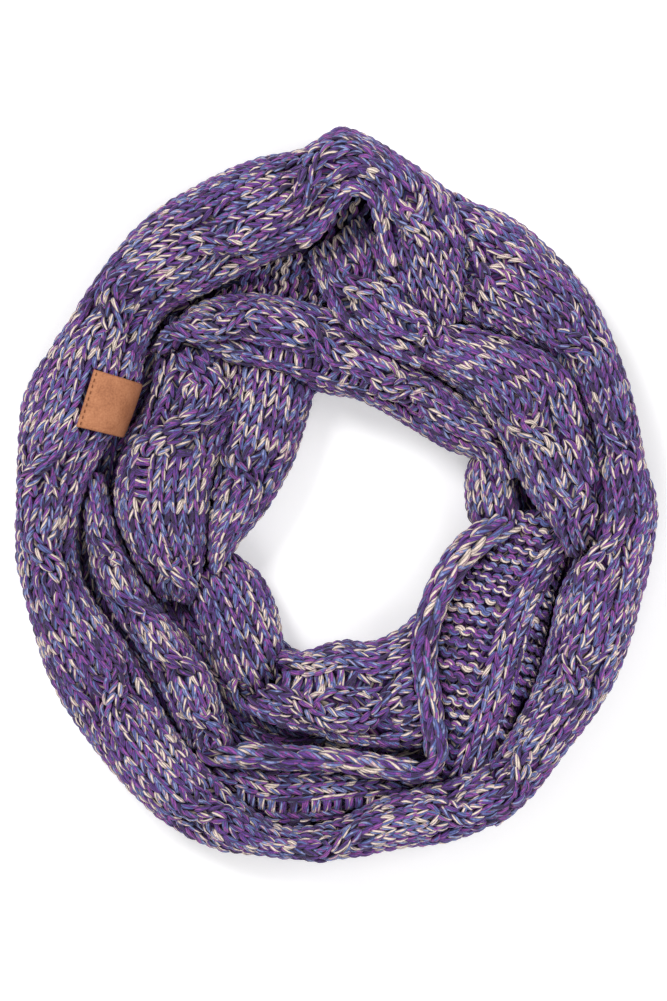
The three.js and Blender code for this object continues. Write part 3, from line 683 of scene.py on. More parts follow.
class Knitting:
    """Columns of stitches on a face, crossed by cables. A stitch is its column, middle, height and tone."""

    def __init__(self, face, cables=(), patches=(), size=1.0, slant=0.0, wander=0.0, raised=0.0):
        self.face, self.cables, self.patches = face, cables, patches
        self.slant, self.wander, self.raised = slant, wander, raised
        self.wale, self.course, self.yarn_radius = WALE * size, COURSE * size, YARN * math.sqrt(size)

    def path(self, wale, centre, along):
        """Where columns lie across the cloth, how deep they sink, and which stitches a strand covers."""
        across = wale[:, None] + self.wander * (along - self.face.along[-1] / 2)
        sink = np.zeros(along.shape)
        covered = np.zeros(len(wale), bool)
        for cable in self.cables:
            reach, middle = CROSSING_SHARE * cable["length"], cable["middle"]
            strand, lean = cable["strands"] * self.wale, cable["lean"]
            side = wale - cable["offset"]
            front = side * lean < 0
            way = np.where(front, lean, -lean)
            in_strand = side + way * strand / 2
            spread = in_strand * np.where(front, FRONT_SPREAD, BACK_SPREAD)
            moved = (abs(centre - middle) < reach) & (abs(side) < strand)

            share = (along - middle) / reach
            waist = np.clip(1 - share**2, 0, 1)
            shift = (way * strand)[:, None] * smooth_step((share + 1) / 2) + spread[:, None] * waist
            fade = np.exp(-(abs(side) - strand) / (DRAWN_FADE * self.wale))
            drawn = np.sign(side) * DRAWN_IN * self.wale * fade
            across += np.where(moved[:, None], shift, 0)
            across -= np.where(abs(side) >= strand, drawn, 0)[:, None] * waist
            sink += np.where((moved & ~front)[:, None], BACK_SINK, 0) * waist

            now = (centre - middle) / reach
            waist = np.clip(1 - now**2, 0, 1)
            step = smooth_step((now + 1) / 2)
            back_place = side - lean * strand * step + in_strand * BACK_SPREAD * waist
            front_place = lean * strand * (step - 0.5)
            front_half = strand / 2 * (1 + FRONT_SPREAD * waist)
            covered |= moved & ~front & (abs(back_place - front_place) < front_half - BACK_HIDDEN * self.wale)
        return across, sink, covered

    def stitches(self, cover, edge_cells=1):
        """Every stitch that shows: its column's place, its middle and height along the route, its tone."""
        face = self.face
        half = self.course / 2
        first = math.floor(face.low.min() / self.wale)
        last = math.ceil(face.high.max() / self.wale)
        columns = np.arange(first, last + 1)
        spare = int(abs(self.slant) * abs(face.grid).max() / self.course) + 2
        courses = np.arange(-2 * spare, int(face.along[-1] / half) + 2 * spare)
        column, number = np.meshgrid(columns, courses, indexing="ij")
        wale, number = column.ravel() * self.wale, number.ravel()
        wave = WAVE * np.sin(wale * WAVE_ACROSS + WAVE_START) * np.sin(number * WAVE_ALONG)
        centre = (number + 0.5) * half + self.slant * wale + wave
        middle = self.path(wale, centre, centre[:, None])[0][:, 0]
        pace = face.lookup(face.pace[..., None], centre, middle)[:, 0]
        tight, loose = pace < TIGHT, pace > LOOSE
        height = np.where(loose, half, np.where(tight, 2 * self.course, self.course))
        kept = loose | (tight & (number % 4 == 0)) | (~tight & ~loose & (number % 2 == 0))
        kept &= (centre > 0) & (centre < face.along[-1])
        kept &= face.inside(centre, middle, SIDE_MARGIN * self.wale)
        runs = rng.uniform(0, 1, (len(courses) // 2 + 2, MOST_RUNS))
        place = (wale - columns[0] * self.wale) / RUN_WIDTH + rng.uniform(-RUN_ENDS, RUN_ENDS, len(wale))
        tone = runs[(number - courses[0]) // 2, np.clip(place, 0, MOST_RUNS - 1).astype(int)]
        wale, centre, height, tone, middle = (v[kept] for v in (wale, centre, height, tone, middle))
        covered = self.path(wale, centre, centre[:, None])[2]
        point = face.lookup(face.even_points, centre, middle)
        facing = face.lookup(face.even_normals, centre, middle)
        shown = ~covered & (facing[:, 2] > LOWEST_FACING) & ~cover.hides(point, edge_cells)
        return wale[shown], centre[shown], height[shown], tone[shown]

    def is_purl(self, wale, centre):
        """Which stitches lie in the purl patches, and which of those in a ladder, a patch of one column."""
        purl, ladder = np.zeros(len(wale), bool), np.zeros(len(wale), bool)
        for first, last, start, end in self.patches:
            here = (wale > first - 1) & (wale < last + 1) & (centre > start) & (centre < end)
            purl |= here
            ladder |= here & (first == last)
        return purl, ladder

    def yarn_lines(self, wale, centre, along, offset, depth):
        """Centre lines of yarn, from places along the route and offsets across from their columns."""
        ends = centre[:, None] + TILT_STEP * np.array([-1, 1])
        tilt = np.arctan(np.diff(self.path(wale, centre, ends)[0], axis=1) / (2 * TILT_STEP))
        along = centre[:, None] + (along - centre[:, None]) * np.cos(tilt)
        across, sink, _ = self.path(wale, centre, along)
        across = across + offset * np.cos(tilt)
        along = along - offset * np.sin(tilt)
        points = self.face.lookup(self.face.even_points, along, across)
        normals = unit(self.face.lookup(self.face.even_normals, along, across))
        return points - normals * (depth + sink - self.raised)[..., None], normals

    def knit_legs(self, wale, centre, height, tone):
        """The two legs of each knit stitch. They start under the stitch before and meet on top, at a tip."""
        count = len(wale)
        share = np.linspace(0, 1, LEG_RINGS + 2)
        jitter_along, jitter_across, jitter_depth = KNIT_JITTER
        start_dip = LEG_START_DIP * np.clip(1 - share / 0.5, 0, 1) ** 1.6
        wave_start, wave_span = LEG_WAVE
        profile = np.sin(np.pi * (wave_start + wave_span * share)) ** PLUMPNESS
        profile = profile * (1 - LEG_TAPER * share**2)
        result = []
        for side in (-1, 1):
            length = LEG_LENGTH + uneven(count, LENGTH_JITTER)
            along = centre[:, None] + (share - 0.5) * height[:, None] * length
            along = along + uneven(count, jitter_along)
            inward = LEG_SIDE - LEG_IN * share + LEG_BOW * np.sin(np.pi * share)
            offset = side * self.wale * inward + uneven(count, jitter_across)
            depth = YARN_DEPTH + start_dip + LEG_TIP_DIP * share**5 + uneven(count, jitter_depth)
            points, normals = self.yarn_lines(wale, centre, along, offset, depth)
            radius = self.yarn_radius * profile * (1 + uneven(count, GAUGE_JITTER))
            result.append((points, normals, radius, centre, tone))
        return result

    def purl_arcs(self, stitches, arcs, reach, gauge):
        """Arcs of yarn across each purl stitch, each with its column's step, place, bow and extra depth."""
        wale, centre, height, tone = stitches
        count = len(wale)
        share = np.linspace(-1, 1, LEG_RINGS + 2)
        jitter_along, jitter_across, jitter_depth = PURL_JITTER
        profile = np.cos(ARC_WAVE * np.pi * share) ** PLUMPNESS
        result = []
        for column_step, shift, bow, deeper in arcs:
            along = centre[:, None] + (shift + bow * (1 - share**2)) * height[:, None]
            along = along + uneven(count, jitter_along) + self.slant * share * self.wale / 2
            offset = self.wale * (column_step + reach * share) + uneven(count, jitter_across)
            depth = YARN_DEPTH + deeper + ARC_DIP * abs(share) ** 2.5 + uneven(count, jitter_depth)
            points, normals = self.yarn_lines(wale, centre, along, offset, depth)
            radius = gauge * self.yarn_radius * profile * (1 + uneven(count, GAUGE_JITTER))
            result.append((points, normals, radius, centre, tone))
        return result

    def yarn(self, stitches):
        """All lengths of yarn of the given stitches."""
        purl, ladder = self.is_purl(*stitches[:2])
        lines = self.knit_legs(*(values[~purl] for values in stitches))
        for chosen, kind in ((purl & ~ladder, PURL), (ladder, LADDER)):
            if chosen.any():
                lines += self.purl_arcs(tuple(values[chosen] for values in stitches), **kind)
        return lines


def yarn_faces(rings):
    """The faces of one length of yarn: corners, sizes, and each corner's ring and share of a turn."""
    first_pole, last_pole = rings * LEG_SIDES, rings * LEG_SIDES + 1
    faces, places = [], []
    for ring in range(rings - 1):
        for k in range(LEG_SIDES):
            a, b = ring * LEG_SIDES + k, ring * LEG_SIDES + (k + 1) % LEG_SIDES
            faces.append((a, b, b + LEG_SIDES, a + LEG_SIDES))
            places.append(((ring, k), (ring, k + 1), (ring + 1, k + 1), (ring + 1, k)))
    for k in range(LEG_SIDES):
        a, b = k, (k + 1) % LEG_SIDES
        faces.append((b, a, first_pole))
        places.append(((0, k + 1), (0, k), (-1, k + 0.5)))
        c, d = a + (rings - 1) * LEG_SIDES, b + (rings - 1) * LEG_SIDES
        faces.append((c, d, last_pole))
        places.append(((rings - 1, k), (rings - 1, k + 1), (rings, k + 0.5)))
    corners = np.array([corner for face in faces for corner in face])
    sizes = np.array([len(face) for face in faces])
    ring_at = np.array([place[0] for four in places for place in four]) + 1
    turn_at = np.array([place[1] for four in places for place in four]) / LEG_SIDES
    return corners, sizes, ring_at, turn_at


def yarn_mesh(name, strands):
    """One mesh of plump tapered lengths of yarn. Its UVs hold the place along and round each length."""
    points, normals, radius = (np.concatenate([strand[i] for strand in strands]) for i in range(3))
    drift = np.concatenate([strand[4] for strand in strands])
    count, rings = radius.shape
    forward = unit(np.gradient(points, axis=1))
    sideways = unit(np.cross(forward, normals))
    upward = np.cross(sideways, forward)
    turn = np.linspace(0, 2 * np.pi, LEG_SIDES, endpoint=False) - np.pi / 2
    wide = np.cos(turn)[None, None, :, None] * sideways[:, 1:-1, None]
    tall = FLATNESS * np.sin(turn)[None, None, :, None] * upward[:, 1:-1, None]
    around = points[:, 1:-1, None] + radius[:, 1:-1, None, None] * (wide + tall)
    verts = np.concatenate([around.reshape(count, -1, 3), points[:, :1], points[:, -1:]], axis=1)

    corners, sizes, ring_at, turn_at = yarn_faces(rings - 2)
    loops = (corners[None] + (np.arange(count) * verts.shape[1])[:, None]).ravel()
    start = rng.uniform(0, MARL_STARTS, (count, 1))
    along_at = (run_along(points, axis=1) + start)[:, ring_at]
    strand_uv = np.stack([along_at, np.broadcast_to(turn_at, along_at.shape)], axis=-1).reshape(-1, 2)
    tone_uv = np.repeat(np.stack([rng.uniform(0, 1, count), drift], axis=-1), len(corners), axis=0)
    uvs = {"strand": strand_uv, "tone": tone_uv}
    return mesh_piece(name, verts.reshape(-1, 3) + SHIFT, loops, np.tile(sizes, count), uvs)


def mesh_piece(name, verts, loops, sizes, uvs):
    """A smooth mesh object from points in the tables' frame, its faces and its UV layers."""
    mesh = bpy.data.meshes.new(name)
    mesh.vertices.add(len(verts))
    mesh.vertices.foreach_set("co", (verts * MM).astype(np.float32).ravel())
    mesh.loops.add(len(loops))
    mesh.loops.foreach_set("vertex_index", loops.astype(np.int32))
    mesh.polygons.add(len(sizes))
    starts = np.concatenate([[0], np.cumsum(sizes)[:-1]])
    mesh.polygons.foreach_set("loop_start", starts.astype(np.int32))
    mesh.polygons.foreach_set("loop_total", sizes.astype(np.int32))
    mesh.polygons.foreach_set("use_smooth", np.ones(len(sizes), bool))
    for layer_name, values in uvs.items():
        layer = mesh.uv_layers.new(name=layer_name)
        layer.data.foreach_set("uv", values.astype(np.float32).ravel())
    mesh.update(calc_edges=True)
    mesh.validate()
    piece = bpy.data.objects.new(name, mesh)
    bpy.context.scene.collection.objects.link(piece)
    return piece


def stitch_pieces(name, strands):
    """Meshes of stitches, each within the limit for one piece, cut along the route."""
    triangles = 2 * LEG_SIDES * LEG_RINGS
    total = sum(len(strand[0]) for strand in strands) * triangles
    parts = math.ceil(total / PIECE_LIMIT)
    centres = np.concatenate([strand[3] for strand in strands])
    limits = np.quantile(centres, np.linspace(0, 1, parts + 1))
    limits[-1] += 1
    pieces = []
    for part in range(parts):
        chosen = []
        for strand in strands:
            here = (strand[3] >= limits[part]) & (strand[3] < limits[part + 1])
            if here.any():
                chosen.append(tuple(values[here] for values in strand))
        pieces.append(yarn_mesh(f"{name}_stitches_{part + 1}", chosen))
    return pieces


# Cloth behind the stitches


def main_patch(kept):
    """The largest connected patch of a map of cells."""
    rest = kept.copy()
    best = np.zeros_like(kept)
    while rest.any():
        patch = np.zeros_like(kept)
        grown = patch.copy()
        grown[tuple(np.argwhere(rest)[0])] = True
        while not (grown == patch).all():
            patch = grown
            grown = with_neighbours(patch, np.logical_or) & rest
        rest &= ~patch
        if patch.sum() > best.sum():
            best = patch
    return best


def shell_mesh(name, face_points, back_points, kept, places=None):
    """A closed thin cloth: the kept cells of a grid of points, their backs and the edges between."""
    rows, columns = face_points.shape[:2]
    number = np.arange(rows * columns).reshape(rows, columns)
    back = rows * columns
    i, j = np.nonzero(kept)
    a, b, c, d = number[i, j], number[i + 1, j], number[i + 1, j + 1], number[i, j + 1]
    quads = [np.stack([a, b, c, d], axis=1), back + np.stack([d, c, b, a], axis=1)]
    padded = np.pad(kept, 1)
    open_sides = (
        (padded[i, j + 1], a, d),
        (padded[i + 2, j + 1], c, b),
        (padded[i + 1, j], b, a),
        (padded[i + 1, j + 2], d, c),
    )
    for neighbour, start, end in open_sides:
        s, e = start[~neighbour], end[~neighbour]
        quads.append(np.stack([s, e, back + e, back + s], axis=1))
    corners = np.concatenate(quads).ravel()
    used, loops = np.unique(corners, return_inverse=True)
    verts = np.concatenate([face_points.reshape(-1, 3), back_points.reshape(-1, 3)])[used] + SHIFT
    uvs = {} if places is None else {"cloth": places.reshape(-1, 2)[corners % back]}
    return mesh_piece(name, verts, loops.ravel(), np.full(len(corners) // 4, 4), uvs)


def cell_areas(points):
    """About how large each cell of a grid of points is."""
    forward = points[1:, :-1] - points[:-1, :-1]
    sideways = points[:-1, 1:] - points[:-1, :-1]
    return np.linalg.norm(np.cross(forward, sideways), axis=2)


def ground(name, knitting, cover):
    """The cloth behind a stretch's stitches, with its area and length in metres. Its UVs count stitches."""
    face = knitting.face
    count = max(4, len(face.along) // 2)
    rows = np.unique(np.round(np.linspace(0, len(face.along) - 1, count)).astype(int))
    chosen = np.ix_(rows, np.arange(0, SECTION_POINTS, 2))
    points, normals = face.points[chosen], face.normals[chosen]
    middle = (points[:-1, :-1] + points[1:, :-1] + points[1:, 1:] + points[:-1, 1:]) / 4
    kept = main_patch(~cover.hides(middle, 3))
    column = face.across[chosen] / knitting.wale + 0.5
    course = np.broadcast_to(face.along[rows, None] / knitting.course, column.shape)
    places = np.stack([column, course], axis=-1)
    piece = shell_mesh(name, points - normals * GROUND_DEPTH, points - normals * CLOTH, kept, places)
    length = face.along[-1]
    return piece, (cell_areas(points) * kept).sum() * MM * MM, length * MM


# Materials


def add_node(tree, kind, inputs=(), **settings):
    """A shader node with its settings, and its inputs by name or number: values, or outputs to link."""
    made = tree.nodes.new(kind)
    for key, value in settings.items():
        setattr(made, key, value)
    for key, value in dict(inputs).items():
        if isinstance(value, bpy.types.NodeSocket):
            tree.links.new(value, made.inputs[key])
        else:
            made.inputs[key].default_value = value
    return made


def use_group(tree, node_group, inputs):
    return add_node(tree, "ShaderNodeGroup", inputs, node_tree=node_group).outputs


def math_node(tree, operation, *values):
    return add_node(tree, "ShaderNodeMath", dict(enumerate(values)), operation=operation).outputs[0]


def mixed(tree, factor, first, second, **settings):
    """Two colours mixed, or else joined as the settings say."""
    inputs = {"Factor": factor, 6: first, 7: second}
    return add_node(tree, "ShaderNodeMix", inputs, data_type="RGBA", **settings).outputs[2]


def multiplied(tree, tint, level):
    """A colour times a colour or a value."""
    level = (level, level, level, 1.0) if isinstance(level, float) else level
    return mixed(tree, 1.0, tint, level, blend_type="MULTIPLY")


def noise(tree, place, scale=1.0, detail=2.0, roughness=0.5):
    inputs = {"Vector": place, "Scale": scale, "Detail": detail, "Roughness": roughness}
    return add_node(tree, "ShaderNodeTexNoise", inputs).outputs["Fac"]


def joined(tree, **parts):
    return add_node(tree, "ShaderNodeCombineXYZ", parts).outputs[0]


def parts_of(tree, place):
    return add_node(tree, "ShaderNodeSeparateXYZ", {0: place}).outputs


def uv_parts(tree, name):
    return parts_of(tree, add_node(tree, "ShaderNodeUVMap", uv_map=name).outputs[0])


def rounded_over(tree, place, power):
    """A round bulge over each unit of a place's fraction, between 0 and 1."""
    bulge = math_node(tree, "MULTIPLY", place, math_node(tree, "SUBTRACT", 1.0, place))
    return math_node(tree, "POWER", math_node(tree, "MULTIPLY", bulge, 4.0), power)


def color(red, green, blue):
    """A linear colour from 8-bit sRGB values."""
    shares = (red / 255, green / 255, blue / 255)
    linear = [c / 12.92 if c <= 0.04045 else ((c + 0.055) / 1.055) ** 2.4 for c in shares]
    return (*linear, 1.0)


def ramp(tree, factor, stops):
    made = add_node(tree, "ShaderNodeValToRGB", {0: factor})
    elements = made.color_ramp.elements
    for i, (position, value) in enumerate(stops):
        element = elements[i] if i < 2 else elements.new(position)
        element.position = position
        element.color = value
    return made.outputs[0]


def group(name, inputs, outputs):
    """An empty node group with its sockets, the values that go in and a way to link what comes out."""
    tree = bpy.data.node_groups.new(name, "ShaderNodeTree")
    for socket, default in inputs.items():
        made = tree.interface.new_socket(socket, in_out="INPUT", socket_type="NodeSocketFloat")
        made.default_value = default
    for socket, kind in outputs.items():
        tree.interface.new_socket(socket, in_out="OUTPUT", socket_type=kind)
    given = tree.nodes.new("NodeGroupInput").outputs
    taken = tree.nodes.new("NodeGroupOutput").inputs
    return tree, given, taken


FLOAT, COLOR = "NodeSocketFloat", "NodeSocketColor"

INK = color(44, 28, 66)
PLUM = color(68, 42, 106)
VIOLET = color(98, 54, 142)
MAGENTA = color(146, 74, 158)
BLUE = color(88, 104, 164)
PALE_BLUE = color(138, 150, 198)
ROSE = color(196, 158, 172)
CREAM = color(236, 217, 200)
YARN_MEAN = color(104, 82, 128)
# The plies' colours, each with the share of the yarn at which the next begins. The last colour has the
# rest.
PLIES = (
    (INK, 0.02), (PLUM, 0.16), (VIOLET, 0.34), (MAGENTA, 0.48), (BLUE, 0.62), (PALE_BLUE, 0.73), (ROSE, 0.79),
    (CREAM, None),
)
PLY_BLEND = 0.03
RUN_PACE = 0.16  # how fast a ply's colour changes along the yarn, and how far that and the row's tone move it
RUN_REACH = 0.9
DRIFT_REACH = 0.44
MEAN_SHARE = 0.16  # of the yarn's mean colour in each ply
STRAND_PHASE = 91.7  # how far a length's own number turns its plies
PLY_SPACING = 3.7  # of the plies in the noise that their colours follow
FIBRE_PACE = 0.9  # the fibres' noise, along the yarn and across a ply
FIBRES_ACROSS = 7.0
PLY_ROUND = 0.6  # how much painted shade the roundness of a ply gives it, darkest where two plies meet, and how much its fibres vary its tone
FIBRE_SHADE = 1.5
SHADE_START = -0.26
FIBRE_HEIGHT = 0.35
FLANK_SHADE = 0.48  # how dark the painted shade low on a length of yarn's flanks is


def plied_yarn_group():
    """Marled yarn: plies of several colours twisted round each other, with loose fibres, and painted shade
    where the plies meet.
    """
    tree, given, taken = group(
        "plied_yarn",
        {"Along": 0.0, "Around": 0.0, "Strand": 0.0, "Drift": 0.5, "Plies": 7.0, "Twist": 0.18},
        {"Color": COLOR, "Height": FLOAT, "Crown": FLOAT},
    )
    along, around, strand = given["Along"], given["Around"], given["Strand"]
    turned = math_node(tree, "MULTIPLY", around, given["Plies"])
    twisted = math_node(tree, "MULTIPLY", along, given["Twist"])
    started = math_node(tree, "MULTIPLY", strand, STRAND_PHASE)
    phase = math_node(tree, "ADD", math_node(tree, "ADD", turned, twisted), started)
    ply = math_node(tree, "FLOOR", phase)
    chance = add_node(tree, "ShaderNodeTexWhiteNoise", {"W": ply}, noise_dimensions="1D").outputs["Value"]
    run_place = joined(
        tree,
        X=math_node(tree, "MULTIPLY", along, RUN_PACE),
        Y=math_node(tree, "MULTIPLY", ply, PLY_SPACING),
    )
    run = math_node(tree, "MULTIPLY_ADD", noise(tree, run_place, detail=1.0), RUN_REACH, -RUN_REACH / 2)
    drift = math_node(tree, "MULTIPLY_ADD", given["Drift"], DRIFT_REACH, -DRIFT_REACH / 2)
    chosen = math_node(tree, "ADD", math_node(tree, "ADD", chance, run), drift)
    stops = [(0.0, PLIES[0][0])]
    for (tint, share), (next_tint, _) in zip(PLIES, PLIES[1:]):
        stops += [(share, tint), (share + PLY_BLEND, next_tint)]
    tint = mixed(tree, MEAN_SHARE, ramp(tree, chosen, stops), YARN_MEAN)

    # painted shade: each ply is darker towards its edges, where it meets the next; the fibres vary its tone
    # at random
    rounded = rounded_over(tree, math_node(tree, "FRACT", phase), 0.5)
    fibre_place = joined(
        tree,
        X=math_node(tree, "MULTIPLY", along, FIBRE_PACE),
        Y=math_node(tree, "MULTIPLY", phase, FIBRES_ACROSS),
        Z=strand,
    )
    fibre = noise(tree, fibre_place, roughness=0.6)
    fibre_shade = math_node(tree, "MULTIPLY_ADD", fibre, FIBRE_SHADE, SHADE_START)
    shade = math_node(tree, "MULTIPLY_ADD", rounded, PLY_ROUND, fibre_shade)
    # Crown is 1 on top of a length and 0 underneath, and sets the painted shade on its flanks
    full_turn = math_node(tree, "MULTIPLY", around, 2 * math.pi)
    crown = math_node(tree, "MULTIPLY_ADD", math_node(tree, "COSINE", full_turn), -0.5, 0.5)
    tree.links.new(multiplied(tree, tint, shade), taken["Color"])
    tree.links.new(math_node(tree, "MULTIPLY_ADD", fibre, FIBRE_HEIGHT, rounded), taken["Height"])
    tree.links.new(crown, taken["Crown"])
    return tree


def grain_group():
    """Uneven grain: a coarse and a fine noise, as a value and as a height."""
    tree, given, taken = group(
        "uneven_grain", {"Scale": 300.0, "Coarse": 0.5}, {"Value": FLOAT, "Height": FLOAT}
    )
    place = add_node(tree, "ShaderNodeTexCoord").outputs["Object"]
    fine = noise(tree, place, given["Scale"], detail=4.0)
    coarse = noise(tree, place, math_node(tree, "MULTIPLY", given["Scale"], 0.12), detail=3.0)
    inputs = {"Factor": given["Coarse"], 2: fine, 3: coarse}
    value = add_node(tree, "ShaderNodeMix", inputs, data_type="FLOAT").outputs[0]
    tree.links.new(value, taken["Value"])
    tree.links.new(fine, taken["Height"])
    return tree


# Drawn knitting: how steep its legs are, how dark the painted shade at their ends is, how far a leg's
# width runs along its yarn, its plies, and steps that give each column, row and side its own length of yarn
DRAWN_SLANT = 1.5
DRAWN_SHADE = 0.9
DRAWN_RUN = 9.0
DRAWN_PLIES = 4.0
DRAWN_STEPS = (0.37, 0.71, 0.19)


def drawn_knit_group(yarn):
    """Columns of knit stitches drawn as colours and heights, from places counted in columns and rows, with
    painted shade where each leg dips.
    """
    tree, given, taken = group("drawn_knit", {"Column": 0.0, "Row": 0.0}, {"Color": COLOR, "Height": FLOAT})
    in_column = math_node(tree, "SUBTRACT", math_node(tree, "FRACT", given["Column"]), 0.5)
    slant = math_node(tree, "MULTIPLY", math_node(tree, "ABSOLUTE", in_column), DRAWN_SLANT)
    row = math_node(tree, "ADD", given["Row"], slant)
    in_row = math_node(tree, "FRACT", row)
    leg_height = rounded_over(tree, in_row, 0.6)

    column_step, row_step, side_step = DRAWN_STEPS
    number = math_node(tree, "MULTIPLY", math_node(tree, "FLOOR", row), row_step)
    column_number = math_node(tree, "FLOOR", given["Column"])
    number = math_node(tree, "MULTIPLY_ADD", column_number, column_step, number)
    number = math_node(tree, "MULTIPLY_ADD", math_node(tree, "SIGN", in_column), side_step, number)
    marl = use_group(
        tree,
        yarn,
        {
            "Along": math_node(tree, "MULTIPLY", in_column, DRAWN_RUN),
            "Around": in_row,
            "Strand": math_node(tree, "FRACT", number),
            "Plies": DRAWN_PLIES,
        },
    )
    # painted shade: each drawn leg is darker towards its ends, where it dips under the next
    shade = math_node(tree, "MULTIPLY_ADD", leg_height, DRAWN_SHADE, 1 - DRAWN_SHADE)
    tree.links.new(multiplied(tree, marl["Color"], shade), taken["Color"])
    tree.links.new(leg_height, taken["Height"])
    return tree


def new_material(name, **values):
    """A material, its tree and its shader, with the values that are the same all over set on the shader."""
    material = bpy.data.materials.new(name)
    material.use_nodes = True
    tree = material.node_tree
    shader = tree.nodes["Principled BSDF"]
    for socket, value in values.items():
        shader.inputs[socket.replace("_", " ")].default_value = value
    return material, tree, shader


def bump_into(tree, shader, height, distance):
    bump = add_node(tree, "ShaderNodeBump", {"Height": height, "Distance": distance, "Strength": 1.0})
    tree.links.new(bump.outputs[0], shader.inputs["Normal"])


def stitch_material(yarn, grain):
    """Yarn as it shows on the face: marl from the stitches' own UVs, with painted shade low on each length's
    flanks.
    """
    material, tree, shader = new_material(
        "marled_yarn", Roughness=0.82, Sheen_Weight=0.16, Sheen_Roughness=0.5, Specular_IOR_Level=0.25
    )
    strand, tone = uv_parts(tree, "strand"), uv_parts(tree, "tone")
    marl = use_group(
        tree, yarn, {"Along": strand[0], "Around": strand[1], "Strand": tone[0], "Drift": tone[1]}
    )
    cloudy = use_group(tree, grain, {"Scale": 60.0, "Coarse": 0.8})
    uneven_level = math_node(tree, "MULTIPLY_ADD", cloudy["Value"], 0.5, 0.85)
    # painted shade: each length of yarn is darkened low on its flanks, by its Crown, down to FLANK_SHADE
    flank_range = {0: marl["Crown"], 1: 0.4, 2: 0.9, 3: FLANK_SHADE, 4: 1.0}
    flank = add_node(tree, "ShaderNodeMapRange", flank_range).outputs[0]
    level = math_node(tree, "MULTIPLY", uneven_level, flank)
    tree.links.new(multiplied(tree, marl["Color"], level), shader.inputs["Base Color"])
    bump_into(tree, shader, marl["Height"], 0.0008)
    return material


def knit_behind_material(name, knit, grain, light, counted=None):
    """Cloth deep between the stitches: knitting drawn by the material, darkened as painted shade for what
    lies over it.

    Its places come from the UVs that count stitches, or else from the object's own coordinates.
    """
    material, tree, shader = new_material(name, Roughness=0.95, Specular_IOR_Level=0.1)
    if counted:
        column, row = uv_parts(tree, counted)[:2]
    else:
        place = parts_of(tree, add_node(tree, "ShaderNodeTexCoord").outputs["Object"])
        column = math_node(tree, "MULTIPLY", place[0], 1 / (WALE * MM))
        row = math_node(tree, "MULTIPLY", place[1], 1 / (COURSE * MM))
    drawn = use_group(tree, knit, {"Column": column, "Row": row})
    # painted shade: the drawn knit's colour times light, a share well below 1
    tree.links.new(multiplied(tree, drawn["Color"], light), shader.inputs["Base Color"])
    fibre = use_group(tree, grain, {"Scale": 900.0, "Coarse": 0.2})
    bump_into(tree, shader, math_node(tree, "MULTIPLY_ADD", fibre["Height"], 0.2, drawn["Height"]), 0.0015)
    return material


def label_material(grain):
    """Imitation leather: warm tan with a fine grain and a slightly darker mottle."""
    material, tree, shader = new_material("imitation_leather", Specular_IOR_Level=0.35)
    leather = use_group(tree, grain, {"Scale": 900.0, "Coarse": 0.45})
    stops = [(0.3, color(146, 90, 58)), (0.5, color(176, 115, 79)), (0.7, color(192, 131, 93))]
    tree.links.new(ramp(tree, leather["Value"], stops), shader.inputs["Base Color"])
    rough = math_node(tree, "MULTIPLY_ADD", leather["Value"], 0.25, 0.5)
    tree.links.new(rough, shader.inputs["Roughness"])
    bump_into(tree, shader, leather["Height"], 0.00025)
    return material


def thread_material(yarn):
    """The label's brown sewing thread, of three plies, with painted shade where the plies meet."""
    material, tree, shader = new_material("label_thread", Roughness=0.6, Specular_IOR_Level=0.3)
    strand = uv_parts(tree, "strand")
    twisted = use_group(tree, yarn, {"Along": strand[0], "Around": strand[1], "Plies": 3.0, "Twist": 2.0})
    # painted shade: the thread is darker where its plies' height is low, between them
    stops = [(0.2, color(78, 40, 22)), (1.0, color(128, 74, 44))]
    tree.links.new(ramp(tree, twisted["Height"], stops), shader.inputs["Base Color"])
    bump_into(tree, shader, twisted["Height"], 0.0001)
    return material


def floor_material():
    """A plain pale table that glows a little, as a light table does."""
    return new_material(
        "pale_table",
        Base_Color=(0.88, 0.88, 0.88, 1),
        Roughness=0.9,
        Specular_IOR_Level=0.1,
        Emission_Color=(1, 1, 1, 1),
        Emission_Strength=0.28,
    )[0]


# The label


def label_piece():
    """The label: imitation leather folded over the inner edge of the left band, with soft corners."""
    band = STRETCHES["outer_left"]
    table = np.array(band["rows"], float)
    _, along = route_places(table)
    rows = LABEL_LENGTH / (along[-1] / (len(table) - 1))
    lengthwise = np.linspace(0, 1, LABEL_POINTS[0])
    turns = np.linspace(*LABEL_TURN, LABEL_POINTS[1])
    base = section_points(between(table, LABEL_ROW + lengthwise * rows), turns, band["tuck"])
    straight = base[:1] + (base[-1:] - base[:1]) * lengthwise[:, None, None]
    base += (straight - base) * LABEL_STRAIGHT
    share = (1 - np.cos(np.radians(turns))) / 2
    across = ((share - share[0]) / (1 - share[0]))[:, None]
    far, near = (
        np.array(start) * (1 - across) + np.array(end) * across
        for start, end in (LABEL_FAR_CORNERS, LABEL_NEAR_CORNERS)
    )
    base[..., :2] += far + (near - far) * lengthwise[:, None, None]
    normals = Face.facing(base)
    run = run_along(base, axis=1)
    from_side = np.minimum(lengthwise, 1 - lengthwise)[:, None] * LABEL_LENGTH
    edge = np.minimum(from_side, np.minimum(run, run[:, -1:] - run))
    edge = np.clip(edge / LABEL_EDGE, 0.0, 1)
    crown = np.sqrt(edge * (2 - edge))
    seam = hump((run - LABEL_SEAM) / LABEL_SEAM_WIDTH)
    puff = LABEL_PUFF * np.sin(np.pi * lengthwise)[:, None] * smooth_step(run / LABEL_PUFF_FADE)
    thickness = LABEL_THICKNESS * (LABEL_EDGE_SHARE + (1 - LABEL_EDGE_SHARE) * crown)
    thickness = thickness - LABEL_SEAM_DEPTH * seam + puff
    top = base + normals * (LABEL_LIFT + thickness)[..., None]
    kept = np.ones((len(base) - 1, len(turns) - 1), bool)
    piece = shell_mesh("label_patch", top, base + normals * LABEL_LIFT, kept)
    return piece, top, normals, run, cell_areas(base).sum() * MM * MM


